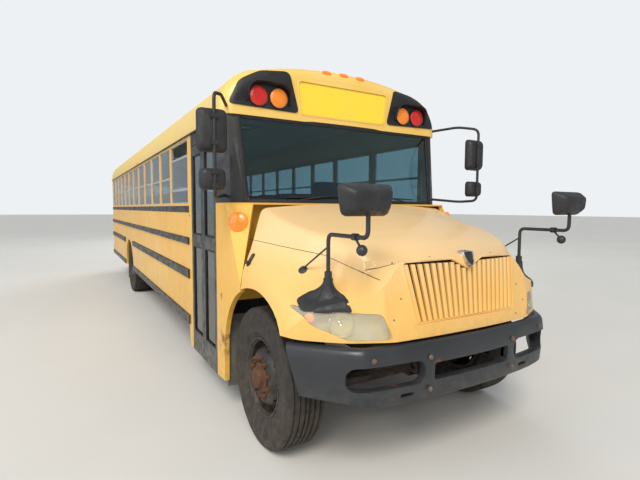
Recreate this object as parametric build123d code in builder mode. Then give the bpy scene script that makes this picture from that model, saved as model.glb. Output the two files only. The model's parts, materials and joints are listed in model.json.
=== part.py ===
"""Conventional school bus with a tilting hood, rows of bench seats and dual rear wheels.

Frame: +X to the bus's left (the driver's side), -Y to its front, +Z up, millimetres.
The origin is on the ground under the middle of the whole vehicle.
"""
import os
from math import atan2, cos, pi, radians, sin

from build123d import *

os.makedirs("parts", exist_ok=True)
PIECES = {}
FLATNESS = 1.0  # six times the volume under which four corners count as one plane
TUBE_SIDES = 8

# Driving dimensions of the vehicle
BODY_WIDTH = 2438.0
HALF = BODY_WIDTH / 2
WHEELBASE = 7010.0
FRONT_OVERHANG = 1110.0
REAR_OVERHANG = 3623.0
TYRE_R = 519.0
TYRE_WIDTH = 280.0

# Stations along the bus
FRONT_AXLE = (FRONT_OVERHANG - WHEELBASE - REAR_OVERHANG) / 2
REAR_AXLE = FRONT_AXLE + WHEELBASE
DOOR_FRONT = FRONT_AXLE + 789
DOOR_SPLIT = FRONT_AXLE + 1216
DOOR_REAR = FRONT_AXLE + 1644
WINDOW_START = FRONT_AXLE + 1790
FIRST_PILLAR = FRONT_AXLE + 2675
WINDOW_PITCH = 698.5
WINDOW_COUNT = 12
REAR_FACE = FRONT_AXLE + 10543
REAR_WALL = 50.0
WALL_BACK = REAR_FACE - REAR_WALL

# Heights above the ground
SKIRT_Z = 517.0
FLOOR_Z = 1030.0
SILL_Z = 1818.0
WINDOW_TOP = 2499.0
ROOF_EDGE = 2525.0
SPRING_Z = 2592.0
ROOF_TOP = 3080.0

# Panel thicknesses
WALL = 40.0
SKIN = 12.0
GLASS = 6.0

# Chassis
RAIL_X = 432.0
RAIL_TOP = 930.0
RAIL_DEPTH = 254.0
RAIL_FLANGE = 76.0
RAIL_PLATE = 9.0

# Roof section: corner arcs tangent to one wide crown arc
ROOF_CORNER_R = 390.0
CORNER_X = HALF - ROOF_CORNER_R
CORNER_DROP = ROOF_TOP - SPRING_Z
ROOF_CROWN_R = (CORNER_X**2 + CORNER_DROP**2 - ROOF_CORNER_R**2) / (2 * (CORNER_DROP - ROOF_CORNER_R))


def across(y):
    """Plane across the bus at station y: local x is X, local y is Z."""
    return Plane.XZ.offset(-y)


def upright(x):
    """Plane along the bus at distance x from its middle: local x is Y, local y is Z."""
    return Plane.YZ.offset(x)


def level(z):
    """Horizontal plane at height z."""
    return Plane.XY.offset(z)


def block(x, y, z, mode=Mode.ADD):
    """Box between two limits along each axis."""
    centre = ((x[0] + x[1]) / 2, (y[0] + y[1]) / 2, (z[0] + z[1]) / 2)
    with Locations(centre):
        Box(x[1] - x[0], y[1] - y[0], z[1] - z[0], mode=mode)


def panel(plane, outline, depth, mode=Mode.ADD):
    """Closed outline drawn on a plane and extruded along its normal."""
    with BuildSketch(plane) as face:
        with BuildLine():
            Polyline(*outline, close=True)
        make_face()
    extrude(face.sketch, amount=depth, mode=mode)


def skin(rings):
    """Solid with flat faces from each ring of points to the next, and a cap on the first and the last."""
    polygons = [rings[0], rings[-1]]
    for ring, following in zip(rings, rings[1:]):
        middle = sum(ring + following, Vector()) / (2 * len(ring))
        for index, (b, c) in enumerate(zip(ring, following)):
            a, d = ring[index - 1], following[index - 1]
            if abs((b - a).cross(d - a).dot(c - a)) < FLATNESS:
                polygons.append((a, b, c, d))
            elif ((a + c) / 2 - middle).length > ((b + d) / 2 - middle).length:
                polygons += [(a, b, c), (a, c, d)]
            else:
                polygons += [(a, b, d), (b, c, d)]
    with BuildPart() as solid:
        add(Solid(Shell([Face(Wire.make_polygon(corners)) for corners in polygons])))
    return solid.part


def lofted(stations, place):
    """Skin over outlines given as (station, points), where place turns a station and a point into x, y, z."""
    return skin([[Vector(*place(station, *point)) for point in outline] for station, outline in stations])


def standing(y, x, z):
    """Place of a point drawn across the bus."""
    return (x, y, z)


def lying(z, x, y):
    """Place of a point drawn on a level plane."""
    return (x, y, z)


def tube(points, radius):
    """Eight-sided tube along straight runs with mitred corners."""
    path = [Vector(*point) for point in points]
    runs = [(after - before).normalized() for before, after in zip(path, path[1:])]
    start = Plane(origin=path[0], z_dir=runs[0])
    turns = [2 * pi * index / TUBE_SIDES for index in range(TUBE_SIDES)]
    rings = [[start.from_local_coords(Vector(radius * cos(turn), radius * sin(turn), 0)) for turn in turns]]
    for centre, run, following in zip(path[1:], runs, runs[1:] + runs[-1:]):
        mitre = (run + following).normalized()
        rings.append([corner + run * ((centre - corner).dot(mitre) / run.dot(mitre)) for corner in rings[-1]])
    return skin(rings)


def arc_points(centre, radius, start, stop, steps):
    """Points along an arc between two angles, its start left out."""
    turns = [start + (stop - start) * (index + 1) / steps for index in range(steps)]
    return [(centre[0] + radius * cos(turn), centre[1] + radius * sin(turn)) for turn in turns]


def bowed(half, ends, middle, steps):
    """Points from -half to half along a shallow bow, with one value at both ends and another in the middle."""
    shares = [2 * index / steps - 1 for index in range(steps + 1)]
    return [(half * share, middle + (ends - middle) * share**2) for share in shares]


def cut_rectangle(centre, width, height, cut):
    """Outline of a rectangle with its corners cut off."""
    x, y = width / 2, height / 2
    top = [(x, y - cut), (x - cut, y), (cut - x, y), (-x, y - cut)]
    return [(centre[0] + u, centre[1] + v) for u, v in top + [(-u, -v) for u, v in top]]


def both_sides(piece):
    """The piece as it stands and its mirror image across the bus."""
    add(piece)
    add(piece.mirror(Plane.YZ))


def keep(name, builder):
    """Remember a finished piece under the name of its file."""
    builder.part.label = name
    PIECES[name] = builder.part


def pillar(index):
    """Station of a window pillar: 0 stands in front of window 1."""
    return WINDOW_START if index == 0 else FIRST_PILLAR + WINDOW_PITCH * (index - 1)


# Frame rails: two channels open to the middle, joined by channel cross members, with a tow eye at each end
RAIL_FRONT = FRONT_AXLE - 830
RAIL_BACK = REAR_FACE - 120
REAR_END = FRONT_AXLE + 10633
CROSS_MEMBERS = (-790, 1300, 2500, 3700, 4900, 6200, 7800, 9000, 10250)
CROSS_DEPTH = 106.0
EYE_R = 25.0
EYE_PLATE = 25.0
FRONT_EYE = (FRONT_AXLE - 865, 757.0)
REAR_EYE = (REAR_END - 60, 430.0)
with BuildPart() as frame_rails:
    for side in (-1, 1):
        with BuildSketch(across(RAIL_FRONT)):
            with Locations((side * (RAIL_X - RAIL_FLANGE / 2), RAIL_TOP - RAIL_DEPTH / 2)):
                Rectangle(RAIL_FLANGE, RAIL_DEPTH)
            with Locations((side * (RAIL_X - RAIL_PLATE - RAIL_FLANGE / 2), RAIL_TOP - RAIL_DEPTH / 2)):
                Rectangle(RAIL_FLANGE, RAIL_DEPTH - 2 * RAIL_PLATE, mode=Mode.SUBTRACT)
        extrude(amount=RAIL_FRONT - RAIL_BACK)
    for station in CROSS_MEMBERS:
        middle = (FRONT_AXLE + station, RAIL_TOP - RAIL_PLATE - CROSS_DEPTH / 2)
        with BuildSketch(upright(RAIL_PLATE - RAIL_X)):
            with Locations(middle):
                Rectangle(60, CROSS_DEPTH)
            with Locations((middle[0] + RAIL_PLATE, middle[1])):
                Rectangle(60, CROSS_DEPTH - 2 * RAIL_PLATE, mode=Mode.SUBTRACT)
        extrude(amount=2 * (RAIL_X - RAIL_PLATE))
    for side in (-1, 1):
        plate_plane = upright(side * RAIL_X - (EYE_PLATE if side > 0 else 0))
        front_tip = FRONT_EYE[0] - EYE_R - 15
        panel(plate_plane, [(RAIL_FRONT + 60, 700), (RAIL_FRONT + 60, 815), (front_tip, 800), (front_tip, 715)],
              EYE_PLATE)
        panel(plate_plane, [(RAIL_BACK, RAIL_TOP - RAIL_DEPTH), (RAIL_BACK - 300, RAIL_TOP - RAIL_DEPTH),
                            (REAR_EYE[0] - 160, 380), (REAR_EYE[0] + 50, 380), (REAR_EYE[0] + 50, 480),
                            (RAIL_BACK, 480)], EYE_PLATE)
        with BuildSketch(upright(side * RAIL_X - 60)):
            with Locations(FRONT_EYE):
                RegularPolygon(EYE_R, 12)
            with Locations(REAR_EYE):
                Circle(EYE_R)
        extrude(amount=120, mode=Mode.SUBTRACT)
keep("frame_rails", frame_rails)

# Engine: one plain block over the front axle, carried on two bars across the rails
ENGINE_Y = (FRONT_AXLE - 560, FRONT_AXLE + 440)
with BuildPart() as engine_block:
    block((-310, 310), ENGINE_Y, (650, 1400))
    for y in (FRONT_AXLE - 420, FRONT_AXLE + 300):
        block((-RAIL_X, RAIL_X), (y - 40, y + 40), (RAIL_TOP, RAIL_TOP + 50))
keep("engine_block", engine_block)

with BuildPart() as radiator:
    block((-400, 400), (FRONT_AXLE - 740, FRONT_AXLE - 660), (RAIL_TOP, 1380))
keep("radiator", radiator)

# Driveline: gearbox that narrows to its output, then the shaft to the rear axle's nose
GEARBOX_Z = 745.0
GEARBOX_LENGTH = 760.0
AXLE_NOSE_Z = 550.0
AXLE_NOSE_Y = REAR_AXLE - 330
with BuildPart() as driveline:
    ends = ((ENGINE_Y[1], 230), (ENGINE_Y[1] + GEARBOX_LENGTH, 130))
    add(lofted([(y, arc_points((0, GEARBOX_Z), radius, 0, 2 * pi, 8)) for y, radius in ends], standing))
    add(tube([(0, ENGINE_Y[1] + GEARBOX_LENGTH - 40, GEARBOX_Z), (0, ENGINE_Y[1] + 3360, 700),
              (0, AXLE_NOSE_Y - 200, AXLE_NOSE_Z), (0, AXLE_NOSE_Y, AXLE_NOSE_Z)], 55))
keep("driveline", driveline)

# Front axle: dropped beam between the kingpins, with an eye around each pin
KINGPIN_X = 880.0
BEAM_DROP = 110.0
PIN_R = 24.0
BEAM = [(-KINGPIN_X + 30, TYRE_R), (-700, TYRE_R - 10), (-560, TYRE_R - BEAM_DROP), (560, TYRE_R - BEAM_DROP),
        (700, TYRE_R - 10), (KINGPIN_X - 30, TYRE_R)]
BEAM_DEPTH = 95.0
with BuildPart() as front_axle:
    panel(across(FRONT_AXLE + 55), BEAM + [(x, z - BEAM_DEPTH) for x, z in reversed(BEAM)], 110)
    with BuildSketch(level(TYRE_R - BEAM_DEPTH)):
        with Locations((-KINGPIN_X, FRONT_AXLE), (KINGPIN_X, FRONT_AXLE)):
            RegularPolygon(54, 12)
    extrude(amount=BEAM_DEPTH)
    with Locations((-KINGPIN_X, FRONT_AXLE, TYRE_R - 48), (KINGPIN_X, FRONT_AXLE, TYRE_R - 48)):
        Cylinder(PIN_R, 220, mode=Mode.SUBTRACT)

# Rear axle: case between two tubes, with a nose for the shaft
REAR_INNER_X = 720.0
REAR_OUTER_X = 1050.0
HUB_FACE_X = (REAR_INNER_X + REAR_OUTER_X) / 2
AXLE_END = HUB_FACE_X - 46
AXLE_TUBE = 75.0
with BuildPart() as axles:
    add(front_axle.part)
    with BuildSketch(upright(-AXLE_END)):
        with Locations((REAR_AXLE, TYRE_R)):
            RegularPolygon(AXLE_TUBE, 8, major_radius=False, rotation=22.5)
    extrude(amount=2 * AXLE_END)
    with BuildSketch(upright(-90)):
        with Locations((REAR_AXLE, TYRE_R)):
            RegularPolygon(210, 12)
    extrude(amount=180)
    block((-80, 80), (AXLE_NOSE_Y, REAR_AXLE), (AXLE_NOSE_Z - 80, AXLE_NOSE_Z + 60))
keep("axles", axles)

# Leaf springs under the rails: arched packs with flat ends
SPRINGS = (  # station, half length, seat height
    (FRONT_AXLE, 690, TYRE_R - BEAM_DROP),
    (REAR_AXLE, 760, TYRE_R + AXLE_TUBE),
)
SPRING_X = 432.0
EYE_Z = RAIL_TOP - RAIL_DEPTH
with BuildPart() as leaf_springs:
    for station, reach, seat in SPRINGS:
        for side in (-1, 1):
            with BuildSketch(upright(side * (SPRING_X - 38) - 38)):
                with BuildLine():
                    Polyline((station - reach, EYE_Z), (station - reach, EYE_Z - 20), (station - 120, seat),
                             (station + 120, seat), (station + reach, EYE_Z - 20), (station + reach, EYE_Z),
                             (station + 160, seat + 60), (station - 160, seat + 60), close=True)
                make_face()
            extrude(amount=76)
keep("leaf_springs", leaf_springs)


# Wheels
FRONT_TYRE_X = 1013.0
BEAD_R = 286.0
WHEEL_SIDES = 30


def turned(axle_y, outline):
    """Many-sided solid about a wheel's axis from a closed outline of (x, radius) points."""
    rings = []
    for x, radius in outline:
        turns = [2 * pi * index / WHEEL_SIDES for index in range(WHEEL_SIDES)] if radius else []
        rings.append([(x, axle_y + radius * sin(turn), TYRE_R - radius * cos(turn)) for turn in turns])
    faces = []
    for ring, following in zip(rings, rings[1:] + rings[:1]):
        if ring and following:
            for index in range(WHEEL_SIDES):
                faces.append([ring[index - 1], ring[index], following[index], following[index - 1]])
        elif ring or following:
            faces.append(ring or following)
    add(Solid(Shell([Face(Wire.make_polygon(corners)) for corners in faces])))


def tyre(axle_y, centres):
    """Tyres on one axis, each with sidewalls, shoulders and a plain tread."""
    for x in centres:
        half = TYRE_WIDTH / 2
        turned(axle_y, [(x - 100, BEAD_R), (x - half, 470), (x - 110, TYRE_R),
                        (x + 110, TYRE_R), (x + half, 470), (x + 100, BEAD_R)])


with BuildPart() as front_tyre:
    tyre(FRONT_AXLE, [FRONT_TYRE_X])
with BuildPart() as rear_tyres:
    tyre(REAR_AXLE, [REAR_INNER_X, REAR_OUTER_X])

# Front disc wheel: the disc bulges outwards and carries the hub
with BuildPart() as front_wheel:
    X = FRONT_TYRE_X
    turned(FRONT_AXLE, [(X - 112, BEAD_R), (X + 112, BEAD_R), (X + 40, 255), (X + 118, 165),
                        (X + 118, 110), (X + 170, 80), (X + 170, 0), (X + 60, 0), (X + 60, 200),
                        (X - 112, 268)])
with BuildPart() as rear_wheels:
    X = REAR_OUTER_X
    turned(REAR_AXLE, [(REAR_INNER_X - 112, BEAD_R), (X + 112, BEAD_R), (X - 150, 235), (X - 150, 130),
                       (X - 10, 105), (X - 10, 0), (HUB_FACE_X - 40, 0), (HUB_FACE_X - 40, 240),
                       (REAR_INNER_X - 112, 268)])

for name, builder in (("tyre_front", front_tyre), ("tyres_rear", rear_tyres),
                      ("wheel_front", front_wheel), ("wheels_rear", rear_wheels)):
    with BuildPart() as right_hand:
        mirror(builder.part, about=Plane.YZ)
    keep(name + "_left", builder)
    keep(name + "_right", right_hand)

# Steering knuckle: fork round the axle's eye, kingpin, brake drum back plate and steering arm
PIN_CLEARANCE = 0.05
ARM_Y = FRONT_AXLE + 150
ARM_Z = TYRE_R - 137
with BuildPart() as knuckle_left:
    with Locations((KINGPIN_X, FRONT_AXLE, TYRE_R - 48)):
        Cylinder(PIN_R - PIN_CLEARANCE, 170)
    block((KINGPIN_X - 45, KINGPIN_X + 65), (FRONT_AXLE - 45, FRONT_AXLE + 45), (TYRE_R + 12, TYRE_R + 60))
    block((KINGPIN_X - 45, KINGPIN_X + 65), (FRONT_AXLE - 45, FRONT_AXLE + 45), (TYRE_R - 150, TYRE_R - 107))
    block((KINGPIN_X + 58, KINGPIN_X + 100), (FRONT_AXLE - 90, FRONT_AXLE + 90), (TYRE_R - 150, TYRE_R + 60))
    with BuildSketch(upright(KINGPIN_X + 100)):
        with Locations((FRONT_AXLE, TYRE_R)):
            RegularPolygon(190, 20)
    extrude(amount=25)
    with BuildSketch(upright(KINGPIN_X + 120)):
        with Locations((FRONT_AXLE, TYRE_R)):
            RegularPolygon(60, 12)
    extrude(amount=68)
    block((KINGPIN_X - 25, KINGPIN_X + 25), (FRONT_AXLE + 40, ARM_Y + 22), (ARM_Z, ARM_Z + 30))
    with BuildSketch(level(ARM_Z)):
        with Locations((KINGPIN_X, ARM_Y)):
            RegularPolygon(11, 8)
    extrude(amount=-40)
with BuildPart() as knuckle_right:
    mirror(knuckle_left.part, about=Plane.YZ)
keep("knuckle_left", knuckle_left)
keep("knuckle_right", knuckle_right)

# Tie rod between the two steering arms, with an eye round each stud
TIE_Z = ARM_Z - 20
with BuildPart() as tie_rod:
    with BuildSketch(upright(-KINGPIN_X + 25)):
        with Locations((ARM_Y, TIE_Z)):
            RegularPolygon(14, 8)
    extrude(amount=2 * (KINGPIN_X - 25))
    for radius, mode in ((30, Mode.ADD), (16, Mode.SUBTRACT)):
        with BuildSketch(level(TIE_Z - 14)) as eyes:
            with Locations((-KINGPIN_X, ARM_Y), (KINGPIN_X, ARM_Y)):
                RegularPolygon(radius, 12)
        extrude(eyes.sketch, amount=28, mode=mode)
keep("tie_rod", tie_rod)


# Body section and shells
CORNER_STEPS = 7
CROWN_STEPS = 4
ROUND_STEPS = 3


def section(inset, bottom):
    """Body outline above a height, moved inwards by inset: straight sides, then corners and crown in facets."""
    half = HALF - inset
    crown_z = ROOF_TOP - ROOF_CROWN_R
    tilt = atan2(SPRING_Z - crown_z, CORNER_X)
    left = [(half, bottom), (half, SPRING_Z)]
    left += arc_points((CORNER_X, SPRING_Z), ROOF_CORNER_R - inset, 0, tilt, CORNER_STEPS)
    left += arc_points((0, crown_z), ROOF_CROWN_R - inset, tilt, pi / 2, CROWN_STEPS)
    return left + [(-x, z) for x, z in left[-2::-1]]


def hull(inset, bottom, y_low, y_high):
    """Solid of the body section between two stations."""
    return lofted([(y, section(inset, bottom)) for y in (y_low, y_high)], standing)


def rounded_end(inset, bottom, y_flat, y_open, radius):
    """Body section closed by a face at y_flat whose edge is rounded in flat bands, except along the bottom."""
    inwards = 1 if y_flat < y_open else -1
    turns = [pi / 2 * index / ROUND_STEPS for index in range(ROUND_STEPS + 1)]
    bands = [(y_flat + inwards * radius * (1 - cos(turn)), inset + radius * (1 - sin(turn))) for turn in turns]
    return lofted([(y, section(drop, bottom)) for y, drop in bands + [(y_open, inset)]], standing)


# Floor: plate on cross bearers with a box over each pair of rear wheels, and folded entrance steps
FIREWALL_Y = FRONT_AXLE + 470
FLOOR_PLATE = 20.0
STEP_INNER_X = -640.0
STEPS = ((340, -950), (570, -800), (800, -655))  # tread height, riser place
STEP_SHEET = 15.0
BEARER_START = DOOR_REAR + 110
BEARER_COUNT = 12
BEARER_HALF = 25.0
WHEELHOUSE_X = (555.0, HALF - WALL)
WHEELHOUSE_REACH = 600.0
WHEELHOUSE_TOP = 1230.0
INSIDE = HALF - WALL
with BuildPart() as floor:
    under_floor = FLOOR_Z - FLOOR_PLATE
    block((-INSIDE, INSIDE), (FIREWALL_Y + 20, WALL_BACK), (under_floor, FLOOR_Z))
    block((-INSIDE, STEP_INNER_X), (DOOR_FRONT + 20, DOOR_REAR - 20), (FLOOR_Z - 50, FLOOR_Z + 50), Mode.SUBTRACT)
    block((STEP_INNER_X, INSIDE), (DOOR_SPLIT - BEARER_HALF, DOOR_SPLIT + BEARER_HALF), (RAIL_TOP, under_floor))
    for index in range(BEARER_COUNT):
        y = BEARER_START + WINDOW_PITCH * index
        if abs(y - REAR_AXLE) > WHEELHOUSE_REACH:
            block((-INSIDE, INSIDE), (y - BEARER_HALF, y + BEARER_HALF), (RAIL_TOP, under_floor))
    for side in (-1, 1):
        low, high = sorted((side * WHEELHOUSE_X[0], side * WHEELHOUSE_X[1]))
        block((low, high), (REAR_AXLE - WHEELHOUSE_REACH, REAR_AXLE + WHEELHOUSE_REACH),
              (under_floor, WHEELHOUSE_TOP))
        trim = SKIN if side > 0 else 0
        block((low + trim, high - SKIN + trim),
              (REAR_AXLE - WHEELHOUSE_REACH + SKIN, REAR_AXLE + WHEELHOUSE_REACH - SKIN),
              (FLOOR_Z - 60, WHEELHOUSE_TOP - SKIN), Mode.SUBTRACT)
    upper = [(-INSIDE, STEPS[0][0])]
    lower = [(-INSIDE, STEPS[0][0] - STEP_SHEET)]
    for (tread, riser), above in zip(STEPS, [step[0] for step in STEPS[1:]] + [FLOOR_Z + STEP_SHEET]):
        upper += [(riser, tread), (riser, above)]
        lower += [(riser + STEP_SHEET, tread - STEP_SHEET), (riser + STEP_SHEET, above - STEP_SHEET)]
    upper[-1] = (STEPS[-1][1], FLOOR_Z)
    panel(across(DOOR_REAR - 32), upper + lower[::-1], DOOR_REAR - DOOR_FRONT - 64)
    cheek = [(-INSIDE, STEPS[0][0] - STEP_SHEET), (STEPS[0][1] + STEP_SHEET, STEPS[0][0] - STEP_SHEET),
             (STEP_INNER_X, STEPS[2][0] - STEP_SHEET), (STEP_INNER_X, FLOOR_Z), (-INSIDE, FLOOR_Z)]
    for y in (DOOR_REAR - 20, DOOR_FRONT + 32):
        panel(across(y), cheek, 12)
keep("floor", floor)

# Side walls: full wall thickness, twelve windows, rear wheel arch
PILLAR_HALF = 26.0
REAR_ARCH_R = 585.0
ARCH_CENTRE_Z = 519.0
DRIVER_WINDOW = ((DOOR_FRONT + 60, DOOR_REAR + 60), (1760.0, WINDOW_TOP))
WINDOWS = [(pillar(i) + PILLAR_HALF * (i > 0), pillar(i + 1) - PILLAR_HALF) for i in range(WINDOW_COUNT)]


def side_wall(x_outer, outline, openings):
    """Wall standing on one side, as thick as WALL, with its openings and the rear arch cut out."""
    plane = upright(min(x_outer, x_outer * (1 - WALL / HALF)))
    with BuildPart() as wall:
        with BuildSketch(plane) as face:
            with BuildLine():
                Polyline(*outline, close=True)
            make_face()
            for (y_low, y_high), (z_low, z_high) in openings:
                with Locations(((y_low + y_high) / 2, (z_low + z_high) / 2)):
                    Rectangle(y_high - y_low, z_high - z_low, mode=Mode.SUBTRACT)
            with Locations((REAR_AXLE, ARCH_CENTRE_Z)):
                Circle(REAR_ARCH_R, mode=Mode.SUBTRACT)
        extrude(face.sketch, amount=WALL)
    return wall


window_openings = [(span, (SILL_Z, WINDOW_TOP)) for span in WINDOWS]
side_wall_right = side_wall(-HALF, [
    (DOOR_REAR, 290), (DOOR_REAR + 120, 290), (DOOR_REAR + 150, SKIRT_Z), (WALL_BACK, SKIRT_Z),
    (WALL_BACK, ROOF_EDGE), (DOOR_REAR, ROOF_EDGE)], window_openings)
side_wall_left = side_wall(HALF, [
    (DOOR_FRONT, 330), (DOOR_FRONT + 120, SKIRT_Z), (WALL_BACK, SKIRT_Z),
    (WALL_BACK, ROOF_EDGE), (DOOR_FRONT, ROOF_EDGE)], window_openings + [DRIVER_WINDOW])

# The hinge bracket of the stop arm stands on the driver's wall
STOP_HINGE = (HALF + 31, FRONT_AXLE + 1900)
STOP_Z = 1590.0
BRACKET_DEPTH = 26.0
with BuildPart() as side_walls:
    add(side_wall_right.part)
    add(side_wall_left.part)
    block((HALF, HALF + BRACKET_DEPTH), (STOP_HINGE[1] - 20, STOP_HINGE[1] + 130), (STOP_Z - 100, STOP_Z + 100))
keep("side_walls", side_walls)

# Roof: one shell between the front cap and the rear end, with two hatch openings
ROOF_SHELL = 50.0
HATCH_Y = (FRONT_AXLE + 3600, FRONT_AXLE + 8700)
HATCH_HALF = 300.0
HATCH_Z = ROOF_TOP + 6
with BuildPart() as roof:
    add(hull(0, ROOF_EDGE, DOOR_FRONT, WALL_BACK))
    add(hull(ROOF_SHELL, ROOF_EDGE - 10, DOOR_FRONT - 10, WALL_BACK + 10), mode=Mode.SUBTRACT)
    for y in HATCH_Y:
        curb = HATCH_HALF + 20
        block((-curb, curb), (y - curb, y + curb), (ROOF_TOP - ROOF_SHELL, HATCH_Z))
        block((-HATCH_HALF, HATCH_HALF), (y - HATCH_HALF, y + HATCH_HALF), (2900, 3200), Mode.SUBTRACT)
keep("roof", roof)

# Roof hatches: a lid with a down-turned rim over each opening, hinged at its front edge
HATCH_LIP = 40.0
LID_GAP = 6.0
lids = []
for y in HATCH_Y:
    reach = HATCH_HALF + HATCH_LIP
    with BuildPart() as lid:
        block((-reach, reach), (y - reach, y + reach), (HATCH_Z + LID_GAP, HATCH_Z + 42))
        chamfer(lid.edges().group_by(Axis.Z)[-1], 22)
        block((-HATCH_HALF, HATCH_HALF), (y - HATCH_HALF, y + HATCH_HALF),
              (HATCH_Z, HATCH_Z + 24), Mode.SUBTRACT)
    lids.append(lid)
keep("roof_hatch_front", lids[0])
keep("roof_hatch_rear", lids[1])

# Front cap over the windscreen: a shell with a rounded front edge
CAP_FRONT = FRONT_AXLE + 610
CAP_BOTTOM = 2560.0
CAP_WALL = 40.0
CAP_ROUND = 120.0
cap_body = rounded_end(0, CAP_BOTTOM, CAP_FRONT, DOOR_FRONT, CAP_ROUND)
with BuildPart() as front_cap:
    add(cap_body)
    add(rounded_end(CAP_WALL, CAP_BOTTOM - 10, CAP_FRONT + CAP_WALL, DOOR_FRONT + 10, CAP_ROUND - CAP_WALL),
        mode=Mode.SUBTRACT)
keep("front_cap", front_cap)

# Rear end: full-height wall with rounded edges, a doorway and a window each side of it
REAR_ROUND = 40.0
REAR_DOOR = dict(half=440.0, bottom=FLOOR_Z, top=2480.0)
REAR_GLASS = ((520.0, 1010.0), (1700.0, 2400.0))
rear_body = rounded_end(0, SKIRT_Z, REAR_FACE, WALL_BACK, REAR_ROUND)
with BuildPart() as rear_end:
    add(rear_body)
    cut = (REAR_FACE - 200, REAR_FACE + 20)
    block((-REAR_DOOR["half"], REAR_DOOR["half"]), cut, (REAR_DOOR["bottom"], REAR_DOOR["top"]), Mode.SUBTRACT)
    for side in (-1, 1):
        block(sorted((side * REAR_GLASS[0][0], side * REAR_GLASS[0][1])), cut, REAR_GLASS[1], Mode.SUBTRACT)
keep("rear_end", rear_end)

# Cowl: side panels behind the front wheels, firewall and the shelf that the windscreen stands on
COWL_TOP = 1815.0
SHELF = 15.0
COWL_JOIN = 1180.0
COWL_ARCH = dict(centre=(FRONT_AXLE - 30, 565.0), r=612.0, sides=40)


def cowl_corner(front, knee_x, knee_y):
    """Half outline of the cowl's side panel at one height."""
    return [(HALF, DOOR_FRONT), (HALF, front), (knee_x, knee_y), (knee_x - 25, knee_y + 32),
            (HALF - WALL, front + 20), (HALF - WALL, DOOR_FRONT)]


with BuildPart() as cowl_side:
    add(lofted([(COWL_JOIN, cowl_corner(FRONT_AXLE + 400, HALF - 4, FRONT_AXLE + 195)),
                (COWL_TOP - SHELF, cowl_corner(FRONT_AXLE + 520, 1050, FRONT_AXLE + 345))], lying))
    panel(upright(HALF - WALL), [(DOOR_FRONT, 290), (DOOR_FRONT, COWL_JOIN), (FRONT_AXLE + 195, COWL_JOIN),
                                 (FRONT_AXLE + 195, 900), (FRONT_AXLE + 575, 700), (FRONT_AXLE + 585, 300)], WALL)
    with BuildSketch(upright(HALF - 2 * WALL)):
        with Locations(COWL_ARCH["centre"]):
            RegularPolygon(COWL_ARCH["r"], COWL_ARCH["sides"])
    extrude(amount=3 * WALL, mode=Mode.SUBTRACT)
with BuildPart() as cowl:
    both_sides(cowl_side.part)
    block((-INSIDE, INSIDE), (FIREWALL_Y, FIREWALL_Y + 20), (FLOOR_Z - FLOOR_PLATE, COWL_TOP - SHELF))
    shelf = [(HALF, DOOR_FRONT), (HALF, FRONT_AXLE + 520), (1050, FRONT_AXLE + 345)]
    panel(level(COWL_TOP - SHELF), shelf + [(-x, y) for x, y in shelf[::-1]], SHELF)
    block((-1140, 1140), (FRONT_AXLE + 640, DOOR_FRONT + 10), (COWL_TOP - 50, COWL_TOP + 10), Mode.SUBTRACT)
keep("cowl", cowl)

# Windscreen: one pane, bowed more at its foot than at its head
SCREEN_STEPS = 8
SCREEN = (  # height, half width, station of the corners, forward bow
    (COWL_TOP, 1038.0, FRONT_AXLE + 522, 160.0),
    (CAP_BOTTOM, 1078.0, FRONT_AXLE + 632, 12.0),
)
fronts = [(z, bowed(half, y, y - bow, SCREEN_STEPS)) for z, half, y, bow in SCREEN]
windscreen = lofted([(z, front + [(x, y + GLASS) for x, y in front[::-1]]) for z, front in fronts], lying)

# Corner posts beside the windscreen, and the panel over the service door
POST_FOOT = [(1042, 518), (1150, 585), (HALF, 690), (HALF, 789), (HALF - WALL, 789), (HALF - WALL, 705),
             (1125, 615), (1036, 545)]
POST_HEAD = [(1085, 628), (1150, 645), (HALF, 730), (HALF, 789), (HALF - WALL, 789), (HALF - WALL, 742),
             (1130, 672), (1080, 650)]
post_ends = ((COWL_TOP, POST_FOOT), (CAP_BOTTOM, POST_HEAD))
corner_post = lofted([(z, [(x, FRONT_AXLE + y) for x, y in outline]) for z, outline in post_ends], lying)
DOOR_TOP = 2390.0
DOOR_BOTTOM = 285.0
with BuildPart() as corner_posts:
    both_sides(corner_post)
    block((-HALF, -INSIDE), (DOOR_FRONT, DOOR_REAR), (DOOR_TOP + 6, ROOF_EDGE))
keep("corner_posts", corner_posts)

# Service door: two leaves that swing outwards, each with an upper and a lower pane
LEAF_X = (-HALF + 1, -HALF + 34)
LEAF_GAP = 6.0
LEAF_STILE = 48.0
PANES = ((497.0, 1386.0), (1501.0, 2300.0))
for leaf_name, y_low, y_high in (("front", DOOR_FRONT + LEAF_GAP, DOOR_SPLIT - LEAF_GAP / 2),
                                 ("rear", DOOR_SPLIT + LEAF_GAP / 2, DOOR_REAR - LEAF_GAP)):
    with BuildPart() as leaf:
        block(LEAF_X, (y_low, y_high), (DOOR_BOTTOM, DOOR_TOP))
        for pane in PANES:
            block((-HALF - 10, -HALF + 60), (y_low + LEAF_STILE, y_high - LEAF_STILE), pane, Mode.SUBTRACT)
    with BuildPart() as leaf_glass:
        for pane in PANES:
            block((-HALF + 15, -HALF + 15 + GLASS), (y_low + LEAF_STILE, y_high - LEAF_STILE), pane)
    keep("service_door_" + leaf_name, leaf)
    keep("service_door_glass_" + leaf_name, leaf_glass)

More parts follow.
